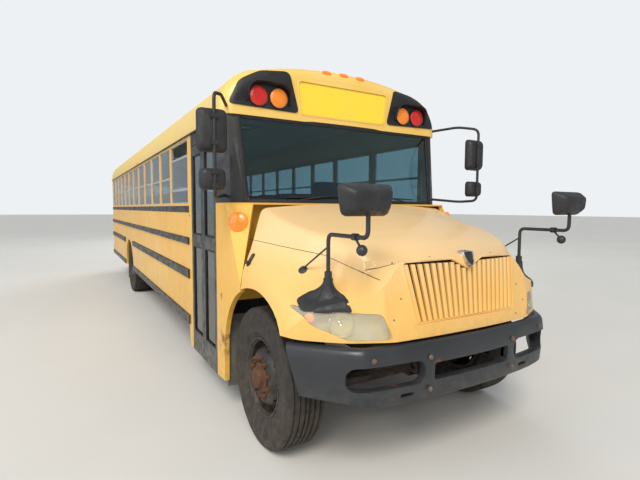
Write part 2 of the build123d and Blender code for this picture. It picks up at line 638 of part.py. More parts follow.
# Emergency door in the rear end, with two panes
DOOR_PANES = ((1160.0, 1560.0), REAR_GLASS[1])
DOOR_PANE_HALF = 330.0
with BuildPart() as emergency_door:
    half = REAR_DOOR["half"] - 6
    block((-half, half), (REAR_FACE - REAR_WALL, REAR_FACE - 2), (REAR_DOOR["bottom"] + 6, REAR_DOOR["top"] - 6))
    for pane in DOOR_PANES:
        block((-DOOR_PANE_HALF, DOOR_PANE_HALF), (REAR_FACE - 100, REAR_FACE + 10), pane, Mode.SUBTRACT)
with BuildPart() as emergency_door_glass:
    for pane in DOOR_PANES:
        block((-DOOR_PANE_HALF, DOOR_PANE_HALF), (REAR_FACE - 30, REAR_FACE - 30 + GLASS), pane)
keep("emergency_door", emergency_door)
keep("emergency_door_glass", emergency_door_glass)

# Window sashes and panes: a frame in each opening with a rail where the two panes meet
SASH = 28.0
SASH_X = (HALF - 32, HALF - 8)
PANE_X = (HALF - 23, HALF - 23 + GLASS)
MEETING = 0.46  # height of the meeting rail above the sill, as a share of the opening


def sash(span, height, rails, side):
    """Frame in one opening, with rails given as shares of the opening's height."""
    x = sorted((side * SASH_X[0], side * SASH_X[1]))
    block(x, span, height)
    edges = [height[0]] + [height[0] + share * (height[1] - height[0]) for share in rails] + [height[1]]
    for low, high in zip(edges, edges[1:]):
        block((x[0] - 5, x[1] + 5), (span[0] + SASH, span[1] - SASH), (low + SASH / 2, high - SASH / 2),
              Mode.SUBTRACT)


def panes(span, height, rails, side):
    """Glass in one opening, one pane between each two rails."""
    x = sorted((side * PANE_X[0], side * PANE_X[1]))
    edges = [height[0]] + [height[0] + share * (height[1] - height[0]) for share in rails] + [height[1]]
    for low, high in zip(edges, edges[1:]):
        block(x, (span[0] + SASH, span[1] - SASH), (low + SASH / 2, high - SASH / 2))


OPEN_RAILS = (0.23, 0.75)  # the upper sash of the first right window is let down
with BuildPart() as window_sashes:
    for side in (-1, 1):
        for index, span in enumerate(WINDOWS):
            lowered = side < 0 and index == 0
            sash(span, (SILL_Z, WINDOW_TOP), OPEN_RAILS if lowered else (MEETING,), side)
    sash(*DRIVER_WINDOW, (0.5,), 1)
keep("window_sashes", window_sashes)

with BuildPart() as window_glass:
    add(windscreen)
    for side in (-1, 1):
        block(sorted((side * REAR_GLASS[0][0], side * REAR_GLASS[0][1])),
              (REAR_FACE - 30, REAR_FACE - 30 + GLASS), REAR_GLASS[1])
        for index, span in enumerate(WINDOWS):
            if side < 0 and index == 0:
                top = SILL_Z + OPEN_RAILS[1] * (WINDOW_TOP - SILL_Z)
                panes(span, (SILL_Z, top), (OPEN_RAILS[0] / OPEN_RAILS[1],), side)
            else:
                panes(span, (SILL_Z, WINDOW_TOP), (MEETING,), side)
    panes(*DRIVER_WINDOW, (0.5,), 1)
keep("window_glass", window_glass)

# Rub rails: hat-shaped pressings along both sides
RAILS = (  # lower edge, upper edge, depth, stops at the rear arch
    (1722.0, 1794.0, 6.0, False),
    (1377.0, 1458.0, 20.0, False),
    (1011.0, 1116.0, 20.0, True),
    (517.0, 617.0, 20.0, True),
)
ARCH_STOP = REAR_ARCH_R + 35
with BuildPart() as rails_right:
    for low, high, depth, stops in RAILS:
        runs = [(DOOR_REAR + 110, WALL_BACK)]
        if stops:
            runs = [(DOOR_REAR + 110, REAR_AXLE - ARCH_STOP), (REAR_AXLE + ARCH_STOP, WALL_BACK)]
        for start, stop in runs:
            ease = depth / 2
            panel(across(stop), [(-HALF, low), (-HALF - depth, low + ease), (-HALF - depth, high - ease),
                                 (-HALF, high)], stop - start)
with BuildPart() as rub_rails:
    both_sides(rails_right.part)
keep("rub_rails", rub_rails)

# Hood: glass-fibre shell with the fenders moulded on, cut for grille, lamps and wheels
HOOD_SECTIONS = (  # station, crown, shoulder x z, waist x z, fender x z, edge x z
    (430, 1822, 1020, 1745, 1115, 1520, 1200, 1290, 1219, 1150),
    (0, 1735, 940, 1665, 1010, 1480, 1180, 1280, 1219, 1130),
    (-450, 1622, 830, 1570, 900, 1350, 1150, 1180, 1219, 985),
    (-960, 1455, 540, 1410, 700, 1230, 960, 1120, 1120, 955),
)
HOOD_PLAN = ((650, -925), (900, -818), (1150, -612), (1235, -470), (1235, 500))
HOOD_WALL = 14.0
CROWN_BOW = 6
NOSE_BOW = 4
PARTING = ((337, COWL_TOP), (187, COWL_JOIN))
HOOD_ARCH = dict(centre=(FRONT_AXLE - 30, 550.0), r=640.0, sides=40)


def hood_body(inset):
    """Outer form of the hood, every face moved inwards by inset."""
    stations = []
    for y, crown, *half in HOOD_SECTIONS:
        points = list(zip(half[0::2], half[1::2]))
        trimmed = [(x - inset, z - inset) for x, z in points[:-1]] + [(points[-1][0] - inset, points[-1][1])]
        top = bowed(*trimmed[0], crown - inset, CROWN_BOW)
        stations.append((FRONT_AXLE + y, top + trimmed[1:] + [(-x, z) for x, z in trimmed[:0:-1]]))
    with BuildPart() as form:
        add(lofted(stations, standing))
        with BuildSketch(level(900)) as plan:
            with BuildLine():
                edge = [(x, FRONT_AXLE + y + inset) for x, y in HOOD_PLAN]
                nose = bowed(*edge[0], FRONT_AXLE - 950 + inset, NOSE_BOW)
                Polyline(*nose, *edge[1:], *[(-x, y) for x, y in edge[:0:-1]], close=True)
            make_face()
        extrude(plan.sketch, amount=1100, mode=Mode.INTERSECT)
    return form.part


GRILLE_OUTLINE = ((-546, 1436), (-150, 1446), (0, 1372), (150, 1446), (546, 1436), (481, 1047), (-481, 1047))
LAMP_OUTLINE = ((700, 1128), (1150, 1165), (1080, 1060), (900, 975), (645, 972))
hood_outer = hood_body(0)
hood_shell = hood_outer - hood_body(HOOD_WALL)


def nose_prism(outline):
    """Prism that cuts a front-view outline out of the nose."""
    with BuildPart() as prism:
        panel(across(FRONT_AXLE - 500), outline, 600)
    return prism.part


with BuildPart() as hood:
    add(hood_shell)
    behind = [(FRONT_AXLE + y, z) for y, z in PARTING]
    panel(upright(-1300), [behind[0], behind[1], (behind[1][0] - 12, 1100), (FRONT_AXLE + 900, 1100),
                           (FRONT_AXLE + 900, 1900), (behind[0][0] + 20, 1900)], 2600, Mode.SUBTRACT)
    with BuildSketch(upright(-1300)):
        with Locations(HOOD_ARCH["centre"]):
            RegularPolygon(HOOD_ARCH["r"], HOOD_ARCH["sides"])
    extrude(amount=2600, mode=Mode.SUBTRACT)
    add(nose_prism(GRILLE_OUTLINE), mode=Mode.SUBTRACT)
    for side in (-1, 1):
        add(nose_prism([(side * x, z) for x, z in LAMP_OUTLINE]), mode=Mode.SUBTRACT)
keep("hood", hood)

# Grille: the nose's own curve cut into upright slats that lean outwards
SLAT_COUNT = 20
SLOT_SHARE = 0.42
GRILLE_EDGE = 24.0
grille_skin = (hood_outer - hood_body(30)) & nose_prism(GRILLE_OUTLINE)
with BuildPart() as grille:
    add(grille_skin)
    top_half, foot_half = 546 - GRILLE_EDGE, 481 - GRILLE_EDGE
    slot_half = SLOT_SHARE * top_half / SLAT_COUNT
    foot_z = 1047 + GRILLE_EDGE
    with BuildSketch(across(FRONT_AXLE - 500)) as slots:
        for index in range(SLAT_COUNT + 1):
            share = 2 * index / SLAT_COUNT - 1
            top_x, foot_x = share * top_half, share * foot_half
            top_z = min(1446, 1372 + abs(top_x) * 74 / 150) - GRILLE_EDGE
            with BuildLine():
                Polyline((top_x - slot_half, top_z), (top_x + slot_half, top_z), (foot_x + slot_half, foot_z),
                         (foot_x - slot_half, foot_z), close=True)
            make_face()
    extrude(slots.sketch, amount=600, mode=Mode.SUBTRACT)
keep("grille", grille)

# Headlamps: swept lenses that carry on the nose's surface
with BuildPart() as headlamps:
    lens_skin = hood_outer - hood_body(26)
    for side in (-1, 1):
        add(lens_skin & nose_prism([(side * x, z) for x, z in LAMP_OUTLINE]))
keep("headlamps", headlamps)

# Front bumper: bowed shell, lower edge rising at the ends, one middle slot and two side openings
BUMPER_TOP = 940.0
BUMPER_BOTTOM = 565.0
BUMPER_WALL = 55.0
BUMPER_BOW = 6
BRACKET_X = RAIL_X - RAIL_FLANGE + 8
BUMPER_SECTIONS = (  # height, end x, end station, quarter x, quarter station, nose station
    (BUMPER_TOP, 1219, -577, 900, -925, -1010),
    (BUMPER_BOTTOM, 1150, -700, 850, -925, -990),
)


def bumper_band(end_x, end_y, quarter_x, quarter_y, nose_y):
    """Plan outline of the bumper at one height, BUMPER_WALL thick."""
    front = [(-end_x, end_y), *bowed(quarter_x, quarter_y, nose_y, BUMPER_BOW), (end_x, end_y)]
    outer = [(x, FRONT_AXLE + y) for x, y in front]
    return outer + [(x * (1 - BUMPER_WALL / HALF), y + BUMPER_WALL) for x, y in outer[::-1]]


with BuildPart() as front_bumper:
    add(lofted([(z, bumper_band(*row)) for z, *row in BUMPER_SECTIONS], lying))
    for opening in (cut_rectangle((0, 745), 712, 113, 15), cut_rectangle((-690, 757), 520, 150, 40),
                    cut_rectangle((690, 757), 520, 150, 40)):
        panel(across(FRONT_AXLE - 400), opening, 700, Mode.SUBTRACT)
    for side in (-1, 1):
        panel(across(FRONT_AXLE - 400), [(side * 560, 560), (side * 1300, 660), (side * 1300, 500), (side * 560, 500)],
              700, Mode.SUBTRACT)
        panel(upright(side * BRACKET_X - 8), [(RAIL_FRONT, RAIL_TOP - RAIL_DEPTH), (RAIL_FRONT, RAIL_TOP),
                                              (FRONT_AXLE - 955, RAIL_TOP), (FRONT_AXLE - 955, RAIL_TOP - RAIL_DEPTH)],
              16)

# Rear bumper: full-width channel with cut-off corners
REAR_BUMPER_Z = (490.0, 750.0)
with BuildPart() as bumpers:
    add(front_bumper.part)
    outline = [(HALF, REAR_FACE), (HALF, REAR_FACE + 30), (1140, REAR_END)]
    panel(level(REAR_BUMPER_Z[0]), outline + [(-x, y) for x, y in outline[::-1]],
          REAR_BUMPER_Z[1] - REAR_BUMPER_Z[0])
keep("bumpers", bumpers)

# Lamp panels of the cap and of the rear end: dark fields with a hooded rim round each pair of lamps
LAMP_R = 89.0
LAMP_Z = 2729.0
LAMP_X = (706.0, 895.0)
FIELD = ((500, 2625), (596, 2985), (860, 2960), (1060, 2850), (1160, 2640))
FIELD_DEPTH = 8.0
VISOR_R = 108.0
VISOR_WALL = 10.0
VISOR_DROP = 60.0
VISOR_STEPS = 3
LENS_SIDES = 16


def field_prism(side, face):
    """Prism through one dark field, in front of and behind a face."""
    with BuildPart() as prism:
        panel(across(face + 130), [(side * x, z) for x, z in FIELD], 260)
    return prism.part


def visor_line(radius):
    """Outline of a visor over a pair of lamps: up one side, round over both and down the other."""
    inner = arc_points((LAMP_X[0], LAMP_Z), radius, pi / 2, pi, VISOR_STEPS)
    outer = arc_points((LAMP_X[1], LAMP_Z), radius, 0, pi / 2, VISOR_STEPS)
    foot = LAMP_Z - VISOR_DROP
    return [(LAMP_X[1] + radius, foot), (LAMP_X[1] + radius, LAMP_Z), *outer,
            (LAMP_X[0], LAMP_Z + radius), *inner, (LAMP_X[0] - radius, foot)]


def lamp_panels(outer, inner, face, depth):
    """Both dark fields, as thick as the gap between two shells, with a visor over each pair of lamps."""
    skin = outer - inner
    outline = visor_line(VISOR_R) + visor_line(VISOR_R - VISOR_WALL)[::-1]
    with BuildPart() as fields:
        for side in (-1, 1):
            add(skin & field_prism(side, face))
            panel(across(face), [(side * x, z) for x, z in outline], depth)
    return fields.part


with BuildPart() as lamp_fields:
    add(lamp_panels(rounded_end(-FIELD_DEPTH, CAP_BOTTOM, CAP_FRONT - FIELD_DEPTH, DOOR_FRONT, CAP_ROUND + 8),
                    cap_body, CAP_FRONT, 75))
    add(lamp_panels(rounded_end(-FIELD_DEPTH, SKIRT_Z, REAR_FACE + FIELD_DEPTH, WALL_BACK, REAR_ROUND + 8),
                    rear_body, REAR_FACE, -60))
keep("lamp_fields", lamp_fields)

# Turn lamps on the cowl's corners, facing forwards and outwards
TURN_R = 92.0
TURN_DEPTH = 34.0
TURN_FACING = (0.66, -0.74, 0.12)
with BuildPart() as turn_lamp:
    with BuildSketch(Plane(origin=(1165, FRONT_AXLE + 372, 1661), z_dir=TURN_FACING)) as lens_face:
        RegularPolygon(TURN_R, LENS_SIDES)
    extrude(lens_face.sketch, amount=TURN_DEPTH)
    extrude(lens_face.sketch, amount=-60)
    add(cowl_side.part, mode=Mode.SUBTRACT)
turn_lens = turn_lamp.part.solids().sort_by(Axis.X)[-1]

# Lenses by colour: warning lamps in the fields, round tail lamps, and marker lamps along the top edges
LENS_DEPTH = 26.0
MARKER_X = (-190.0, 0.0, 190.0)
MARKER_HALF = 55.0
SIDE_MARKER_Y = FRONT_AXLE + 5500
LENSES = (  # name, place of the warning lamp, height of the tail lamp, face of the marker lamps
    ("amber_lamps", LAMP_X[0], 1270, (CAP_FRONT + 20, CAP_FRONT + 75)),
    ("red_lamps", LAMP_X[1], 1480, (REAR_FACE - 50, REAR_FACE + 12)),
)
for lens_name, lamp_x, tail_z, marker_y in LENSES:
    with BuildPart() as lenses:
        for x in MARKER_X:
            block((x - MARKER_HALF, x + MARKER_HALF), marker_y, (2988, 3060))
        add(cap_body, mode=Mode.SUBTRACT)
        add(rear_body, mode=Mode.SUBTRACT)
        for face, depth in ((CAP_FRONT - FIELD_DEPTH, LENS_DEPTH), (REAR_FACE + FIELD_DEPTH, -LENS_DEPTH)):
            with BuildSketch(across(face)):
                with Locations((-lamp_x, LAMP_Z), (lamp_x, LAMP_Z)):
                    RegularPolygon(LAMP_R, LENS_SIDES)
            extrude(amount=depth)
        with BuildSketch(across(REAR_FACE)):
            with Locations((-1000, tail_z), (1000, tail_z)):
                RegularPolygon(LAMP_R, LENS_SIDES)
        extrude(amount=-LENS_DEPTH)
        if lens_name == "amber_lamps":
            both_sides(turn_lens)
            for side in (-1, 1):
                block(sorted((side * HALF, side * (HALF + 20))), (SIDE_MARKER_Y - 40, SIDE_MARKER_Y + 40), (2545, 2580))
    keep(lens_name, lenses)

# Cross-view mirrors on the fenders: flared foot, bent tube and a dished head
FOOT_OUTLINE = ((720, -870), (1130, -640), (1090, -560), (830, -580))
TUBE_R = 14.0
HEAD = (941.0, FRONT_AXLE - 1060, 1817.0)
FOOT_TOP = ((909, -672), (973, -672), (973, -608), (909, -608))
with BuildPart() as cross_mirror:
    foot = [(z, [(x, FRONT_AXLE + y) for x, y in outline]) for z, outline in ((1130, FOOT_OUTLINE), (1336, FOOT_TOP))]
    add(lofted(foot, lying))
    add(hood_outer, mode=Mode.SUBTRACT)
    add(tube([(941, FRONT_AXLE - 640, 1330), (941, FRONT_AXLE - 640, 1590), (941, FRONT_AXLE - 665, 1612),
              (941, FRONT_AXLE - 1025, 1612), (941, FRONT_AXLE - 1050, 1637),
              (941, FRONT_AXLE - 1050, 1760)], TUBE_R))
    faces = ((HEAD[1] - 50, 250, 110), (HEAD[1] + 50, 350, 180))
    add(lofted([(y, cut_rectangle(HEAD[::2], width, height, 0.25 * height)) for y, width, height in faces], standing))
mirror_solid = cross_mirror.part.solids().sort_by(SortBy.VOLUME)[-1]
with BuildPart() as crossview_mirrors:
    both_sides(mirror_solid)
keep("crossview_mirrors", crossview_mirrors)

# Rear-view mirrors: a hooked tube outside each front corner with a flat head over a small one
MIRROR_X = 1400.0
MIRROR_Y = FRONT_AXLE + 200
with BuildPart() as rear_mirror:
    add(tube([(1150, CAP_FRONT + 60, 2620), (1290, FRONT_AXLE + 380, 2640), (MIRROR_X, MIRROR_Y, 2600),
              (MIRROR_X, MIRROR_Y, 1860), (1330, FRONT_AXLE + 380, 1850), (1185, FRONT_AXLE + 660, 1880)], TUBE_R))
    add(cap_body, mode=Mode.SUBTRACT)
    add(corner_post, mode=Mode.SUBTRACT)
    for z, width, height in ((2340, 225, 318), (1984, 195, 160)):
        faces = ((MIRROR_Y + 5, 0.8), (MIRROR_Y + 75, 1.0))
        add(lofted([(y, cut_rectangle((MIRROR_X, z), width * grow, height * grow, 30)) for y, grow in faces],
                   standing))
mirror_solid = rear_mirror.part.solids().sort_by(SortBy.VOLUME)[-1]
with BuildPart() as rearview_mirrors:
    both_sides(mirror_solid)
keep("rearview_mirrors", rearview_mirrors)

# Seats: bench cushions and backs in rows, facing forwards
SEAT_X = (192.0, HALF - WALL - 5)
ROW_COUNT = 11
FIRST_ROW = FRONT_AXLE + 2250
SEAT_PROFILE = ((0, 1370), (0, 1480), (400, 1465), (470, 2000), (540, 2000), (485, 1370))
DRIVER_X = 560.0
DRIVER_Y = FRONT_AXLE + 1290
with BuildPart() as seats:
    for row in range(ROW_COUNT):
        y = FIRST_ROW + WINDOW_PITCH * row
        for side in (-1, 1):
            low, high = sorted((side * SEAT_X[0], side * SEAT_X[1]))
            panel(upright(low), [(y + dy, z) for dy, z in SEAT_PROFILE], high - low)
            block(sorted((side * (SEAT_X[0] + 30), side * (SEAT_X[0] + 80))), (y + 60, y + 400), (FLOOR_Z, 1370))
    panel(upright(DRIVER_X - 250), [(DRIVER_Y, 1400), (DRIVER_Y, 1500), (DRIVER_Y + 440, 1480),
                                    (DRIVER_Y + 500, 2120), (DRIVER_Y + 590, 2120), (DRIVER_Y + 540, 1400)], 500)
    block((DRIVER_X - 150, DRIVER_X + 150), (DRIVER_Y + 100, DRIVER_Y + 420), (FLOOR_Z, 1400))
keep("seats", seats)

# Dashboard with the steering column that comes up through its foot
DASH = ((490, 1330), (490, 1800), (640, 1800), (800, 1640), (800, 1390), (700, 1300))
DASH_X = (-560.0, 1100.0)
COLUMN_R = 38.0
COLUMN_TILT = 35.0
COLUMN_LENGTH = 800.0
WHEEL_CENTRE = (DRIVER_X, FRONT_AXLE + 1010, 1660.0)


def up_column(distance):
    """Point on the steering column's axis, measured from the wheel towards the driver."""
    return (WHEEL_CENTRE[0], WHEEL_CENTRE[1] + distance * sin(radians(COLUMN_TILT)),
            WHEEL_CENTRE[2] + distance * cos(radians(COLUMN_TILT)))


with BuildPart() as dashboard:
    add(tube([up_column(-19), up_column(-COLUMN_LENGTH)], COLUMN_R))
    block((DRIVER_X - 300, DRIVER_X + 300), (FRONT_AXLE, FRONT_AXLE + 1400), (FLOOR_Z - 200, FLOOR_Z), Mode.SUBTRACT)
    panel(upright(DASH_X[0]), [(FRONT_AXLE + y, z) for y, z in DASH], DASH_X[1] - DASH_X[0])
keep("dashboard", dashboard)

RIM_R = 230.0
column_plane = Plane(origin=up_column(0), x_dir=(1, 0, 0),
                     z_dir=(0, sin(radians(COLUMN_TILT)), cos(radians(COLUMN_TILT))))
with BuildPart() as steering_wheel:
    with BuildSketch(column_plane):
        RegularPolygon(RIM_R, 20)
        RegularPolygon(RIM_R - 28, 20, mode=Mode.SUBTRACT)
        Rectangle(2 * RIM_R - 40, 40)
        with Locations((0, -RIM_R / 2)):
            Rectangle(40, RIM_R - 20)
        RegularPolygon(55, 12)
    extrude(amount=13, both=True)
keep("steering_wheel", steering_wheel)

# Stop arm: blank octagonal blade folded back along the driver's side
BLADE_X = (HALF + 34, HALF + 42)
with BuildPart() as stop_arm:
    with BuildSketch(upright(BLADE_X[0])):
        with Locations((STOP_HINGE[1] + 340, STOP_Z)):
            RegularPolygon(457 / 2, 8, major_radius=False, rotation=22.5)
        with Locations((STOP_HINGE[1] + 80, STOP_Z)):
            Rectangle(160, 120)
    extrude(amount=BLADE_X[1] - BLADE_X[0])
keep("stop_arm", stop_arm)

# Under the floor: fuel tank against the right rail, silencer and tailpipe inside the left rail
with BuildPart() as fuel_tank:
    block((-1120, -RAIL_X), (FRONT_AXLE + 2400, FRONT_AXLE + 3900), (500, 900))
    fillet(fuel_tank.edges().filter_by(Axis.Y), 70)
keep("fuel_tank", fuel_tank)

PIPE_R = 50.8
PIPE_X = 250.0
PIPE_Z = RAIL_TOP - RAIL_PLATE - CROSS_DEPTH - PIPE_R
TAIL_Z = 420.0
TAIL_Y = (REAR_END - 520, REAR_END - 20)
with BuildPart() as exhaust:
    add(tube([(PIPE_X, FRONT_AXLE + 1500, PIPE_Z), (PIPE_X, FRONT_AXLE + 9400, PIPE_Z),
              (PIPE_X, FRONT_AXLE + 9750, 560), (PIPE_X, FRONT_AXLE + 9950, TAIL_Z),
              (PIPE_X, TAIL_Y[0] + 60, TAIL_Z)], PIPE_R))
    with BuildSketch(across(TAIL_Y[0])):
        with Locations((PIPE_X, TAIL_Z)):
            Circle(PIPE_R)
    extrude(amount=TAIL_Y[0] - TAIL_Y[1])
    with BuildSketch(across(FRONT_AXLE + 2600)):
        with Locations((PIPE_X, PIPE_Z - 30)):
            RegularPolygon(95, 12)
    extrude(amount=-1050)
keep("exhaust", exhaust)

# Mud flaps behind both pairs of wheels
with BuildPart() as mud_flaps:
    for side in (-1, 1):
        block(sorted((side * 860, side * INSIDE)), (FRONT_AXLE + 612, FRONT_AXLE + 620), (235, 860))
        block(sorted((side * 590, side * INSIDE)), (REAR_AXLE + 602, REAR_AXLE + 610), (200, FLOOR_Z - FLOOR_PLATE))
keep("mud_flaps", mud_flaps)

for name, piece in PIECES.items():
    export_step(piece, f"parts/{name}.step")
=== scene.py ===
"""Looks of a conventional yellow school bus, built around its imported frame.

Frame: +X to the bus's left, -Y to its front, +Z up, metres. Every piece stands where the frame says.
"""

import json
import logging
import math
from dataclasses import dataclass
from enum import Enum
from typing import Callable, Iterable, Sequence

import bmesh
import bpy
from mathutils import Matrix, Vector
from mathutils.bvhtree import BVHTree


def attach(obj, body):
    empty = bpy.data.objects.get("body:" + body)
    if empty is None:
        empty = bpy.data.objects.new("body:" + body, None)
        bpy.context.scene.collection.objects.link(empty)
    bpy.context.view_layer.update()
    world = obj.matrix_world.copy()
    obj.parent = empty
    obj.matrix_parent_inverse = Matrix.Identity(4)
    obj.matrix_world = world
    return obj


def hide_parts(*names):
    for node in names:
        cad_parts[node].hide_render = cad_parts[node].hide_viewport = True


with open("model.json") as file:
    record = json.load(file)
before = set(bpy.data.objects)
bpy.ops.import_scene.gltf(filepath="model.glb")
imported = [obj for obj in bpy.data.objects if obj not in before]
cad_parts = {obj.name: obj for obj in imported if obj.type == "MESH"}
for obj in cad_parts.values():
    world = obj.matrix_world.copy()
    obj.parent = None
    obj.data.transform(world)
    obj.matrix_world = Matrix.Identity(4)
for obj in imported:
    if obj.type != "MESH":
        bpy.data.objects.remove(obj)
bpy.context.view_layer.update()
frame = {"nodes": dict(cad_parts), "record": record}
log = logging.getLogger("school_bus")

Point = Sequence[float]
Tree = bpy.types.NodeTree
Socket = bpy.types.NodeSocket
Paint = Socket | Sequence[float]

# Driving dimensions, the same as the frame's
HALF = 1.219
FRONT_AXLE = -4.7615
REAR_AXLE = 2.2485
TYRE_R = 0.519
DOOR_FRONT = FRONT_AXLE + 0.789
DOOR_SPLIT = FRONT_AXLE + 1.216
DOOR_REAR = FRONT_AXLE + 1.644
WINDOW_START = FRONT_AXLE + 1.790
FIRST_PILLAR = FRONT_AXLE + 2.675
WINDOW_PITCH = 0.6985
WINDOW_COUNT = 12
REAR_FACE = FRONT_AXLE + 10.543
WALL_BACK = REAR_FACE - 0.05
FLOOR_Z = 1.030
SILL_Z = 1.818
WINDOW_TOP = 2.499
ROOF_EDGE = 2.525
SPRING_Z = 2.592
ROOF_TOP = 3.080
CORNER_R = 0.390
CORNER_X = HALF - CORNER_R
CORNER_DROP = ROOF_TOP - SPRING_Z
CROWN_R = (CORNER_X**2 + CORNER_DROP**2 - CORNER_R**2) / (2 * (CORNER_DROP - CORNER_R))
CAP_FRONT = FRONT_AXLE + 0.610
CAP_BOTTOM = 2.560
SKIRT_Z = 0.517
COWL_TOP = 1.815
PILLAR_HALF = 0.026


class Side(Enum):
    """The two sides of the bus, by the sign of X."""

    LEFT = 1
    RIGHT = -1


class Carving(Enum):
    """What happens to the part of a form that another one covers."""

    AWAY = "DIFFERENCE"
    KEEP = "INTERSECT"


# Meshes

# The most of a run between two corners that one corner's curve takes up
CURVE_SHARE = 0.45


class Form:
    """A mesh under construction: solids are added, cut and then made into an object."""

    def __init__(self) -> None:
        """Starts empty."""
        self.mesh = bmesh.new()
        self.cut_already = False

    def loft(self, rings: Sequence[Iterable[Point]], wrap: bool = False) -> "Form":
        """Adds a closed skin over rings of points.

        Args:
            rings: Rings with equally many points each.
            wrap: Joins the last ring to the first instead of capping both.

        Returns:
            This form.
        """
        rows = [[self.mesh.verts.new(point) for point in ring] for ring in rings]
        pairs = list(zip(rows, rows[1:])) + ([(rows[-1], rows[0])] if wrap else [])
        for low, high in pairs:
            for index in range(len(low)):
                self.mesh.faces.new((low[index - 1], low[index], high[index], high[index - 1]))
        if not wrap:
            self.mesh.faces.new(rows[0])
            self.mesh.faces.new(rows[-1][::-1])
        return self

    def box(self, low: Point, high: Point) -> "Form":
        """Adds a box between two corners in any order."""
        (x0, x1), (y0, y1), (z0, z1) = (sorted(pair) for pair in zip(low, high))
        return self.loft([[(x0, y0, z), (x1, y0, z), (x1, y1, z), (x0, y1, z)] for z in (z0, z1)])

    def prism(self, outline: Sequence[Point], start: Point, run: Point, x: Point, y: Point) -> "Form":
        """Adds a prism over a flat outline.

        Args:
            outline: Points (u, v) on the plane of x and y.
            start: Origin of the plane.
            run: Vector that the prism reaches along.
            x: Direction of u.
            y: Direction of v.

        Returns:
            This form.
        """
        base = [Vector(start) + Vector(x) * u + Vector(y) * v for u, v in outline]
        return self.loft([base, [point + Vector(run) for point in base]])

    def turn(self, profile: Sequence[Point], centre: Point, axis: Point, steps: int = 48,
             wrap: bool = True) -> "Form":
        """Adds a solid of revolution.

        Args:
            profile: Points (distance along the axis, radius).
            centre: Origin on the axis.
            axis: Direction of the axis.
            steps: Facets round the axis.
            wrap: Closes the profile on itself; otherwise both its ends are capped.

        Returns:
            This form.
        """
        origin, line = Vector(centre), Vector(axis).normalized()
        side = line.orthogonal().normalized()
        up = line.cross(side)
        turns = [2 * math.pi * index / steps for index in range(steps)]
        return self.loft([[origin + line * along + (side * math.cos(turn) + up * math.sin(turn)) * radius
                           for turn in turns] for along, radius in profile], wrap)

    def tube(self, route: Sequence[Point], radius: float, sides: int = 12, bend: float = 0.0) -> "Form":
        """Adds a round tube along a route whose corners are rounded.

        Args:
            route: Corner points.
            radius: Radius of the tube.
            sides: Facets round it.
            bend: Distance from each corner at which its curve starts.

        Returns:
            This form.
        """
        path = softened([Vector(point) for point in route], bend) if bend else [Vector(p) for p in route]
        runs = [(after - before).normalized() for before, after in zip(path, path[1:])]
        side = runs[0].orthogonal().normalized()
        rings = []
        for index, point in enumerate(path):
            before, after = runs[max(index - 1, 0)], runs[min(index, len(runs) - 1)]
            along = (before + after).normalized()
            side = (side - along * side.dot(along)).normalized()
            up = along.cross(side)
            stretch = 1 / max(0.5, along.dot(after))
            turns = [2 * math.pi * step / sides for step in range(sides)]
            rings.append([point + (side * math.cos(turn) + up * math.sin(turn)) * radius * stretch**0.5
                          for turn in turns])
        return self.loft(rings)

    def join(self, other: "Form") -> "Form":
        """Adds another form's mesh.

        Args:
            other: The form to add.

        Returns:
            This form.
        """
        mesh = bpy.data.meshes.new("join")
        other.mesh.to_mesh(mesh)
        self.mesh.from_mesh(mesh)
        bpy.data.meshes.remove(mesh)
        return self

    def mirrored(self) -> "Form":
        """Adds the mirror image across the bus.

        Returns:
            This form.
        """
        made = bmesh.ops.duplicate(self.mesh,
                                   geom=self.mesh.verts[:] + self.mesh.edges[:] + self.mesh.faces[:])
        copies = [item for item in made["geom"] if isinstance(item, bmesh.types.BMVert)]
        for vert in copies:
            vert.co.x = -vert.co.x
        faces = [item for item in made["geom"] if isinstance(item, bmesh.types.BMFace)]
        bmesh.ops.reverse_faces(self.mesh, faces=faces)
        return self

    def moulded(self, change: Callable[[Vector], Vector]) -> "Form":
        """Moves every point.

        Args:
            change: Function from a point's place to its new place.

        Returns:
            This form.
        """
        for vert in self.mesh.verts:
            vert.co = change(vert.co)
        return self

    def combined(self, other: "Form", carving: Carving) -> "Form":
        """Takes away or keeps what another closed form covers.

        Args:
            other: The cutting form.
            carving: What happens to the part that it covers.

        Returns:
            This form.
        """
        objects = []
        for form in (self, other):
            if not form.cut_already:
                bmesh.ops.recalc_face_normals(form.mesh, faces=form.mesh.faces)
            mesh = bpy.data.meshes.new("cut")
            form.mesh.to_mesh(mesh)
            objects.append(bpy.data.objects.new("cut", mesh))
            bpy.context.scene.collection.objects.link(objects[-1])
        modifier = objects[0].modifiers.new("cut", "BOOLEAN")
        modifier.operation = carving.value
        modifier.solver = "EXACT"
        modifier.object = objects[1]
        depsgraph = bpy.context.evaluated_depsgraph_get()
        result = bpy.data.meshes.new_from_object(objects[0].evaluated_get(depsgraph))
        self.mesh.clear()
        self.mesh.from_mesh(result)
        self.cut_already = True
        for made in objects:
            mesh = made.data
            bpy.data.objects.remove(made)
            bpy.data.meshes.remove(mesh)
        bpy.data.meshes.remove(result)
        return self

    def cut(self, other: "Form") -> "Form":
        """Takes another form away."""
        return self.combined(other, Carving.AWAY)

    def kept(self, other: "Form") -> "Form":
        """Keeps what lies inside another form."""
        return self.combined(other, Carving.KEEP)

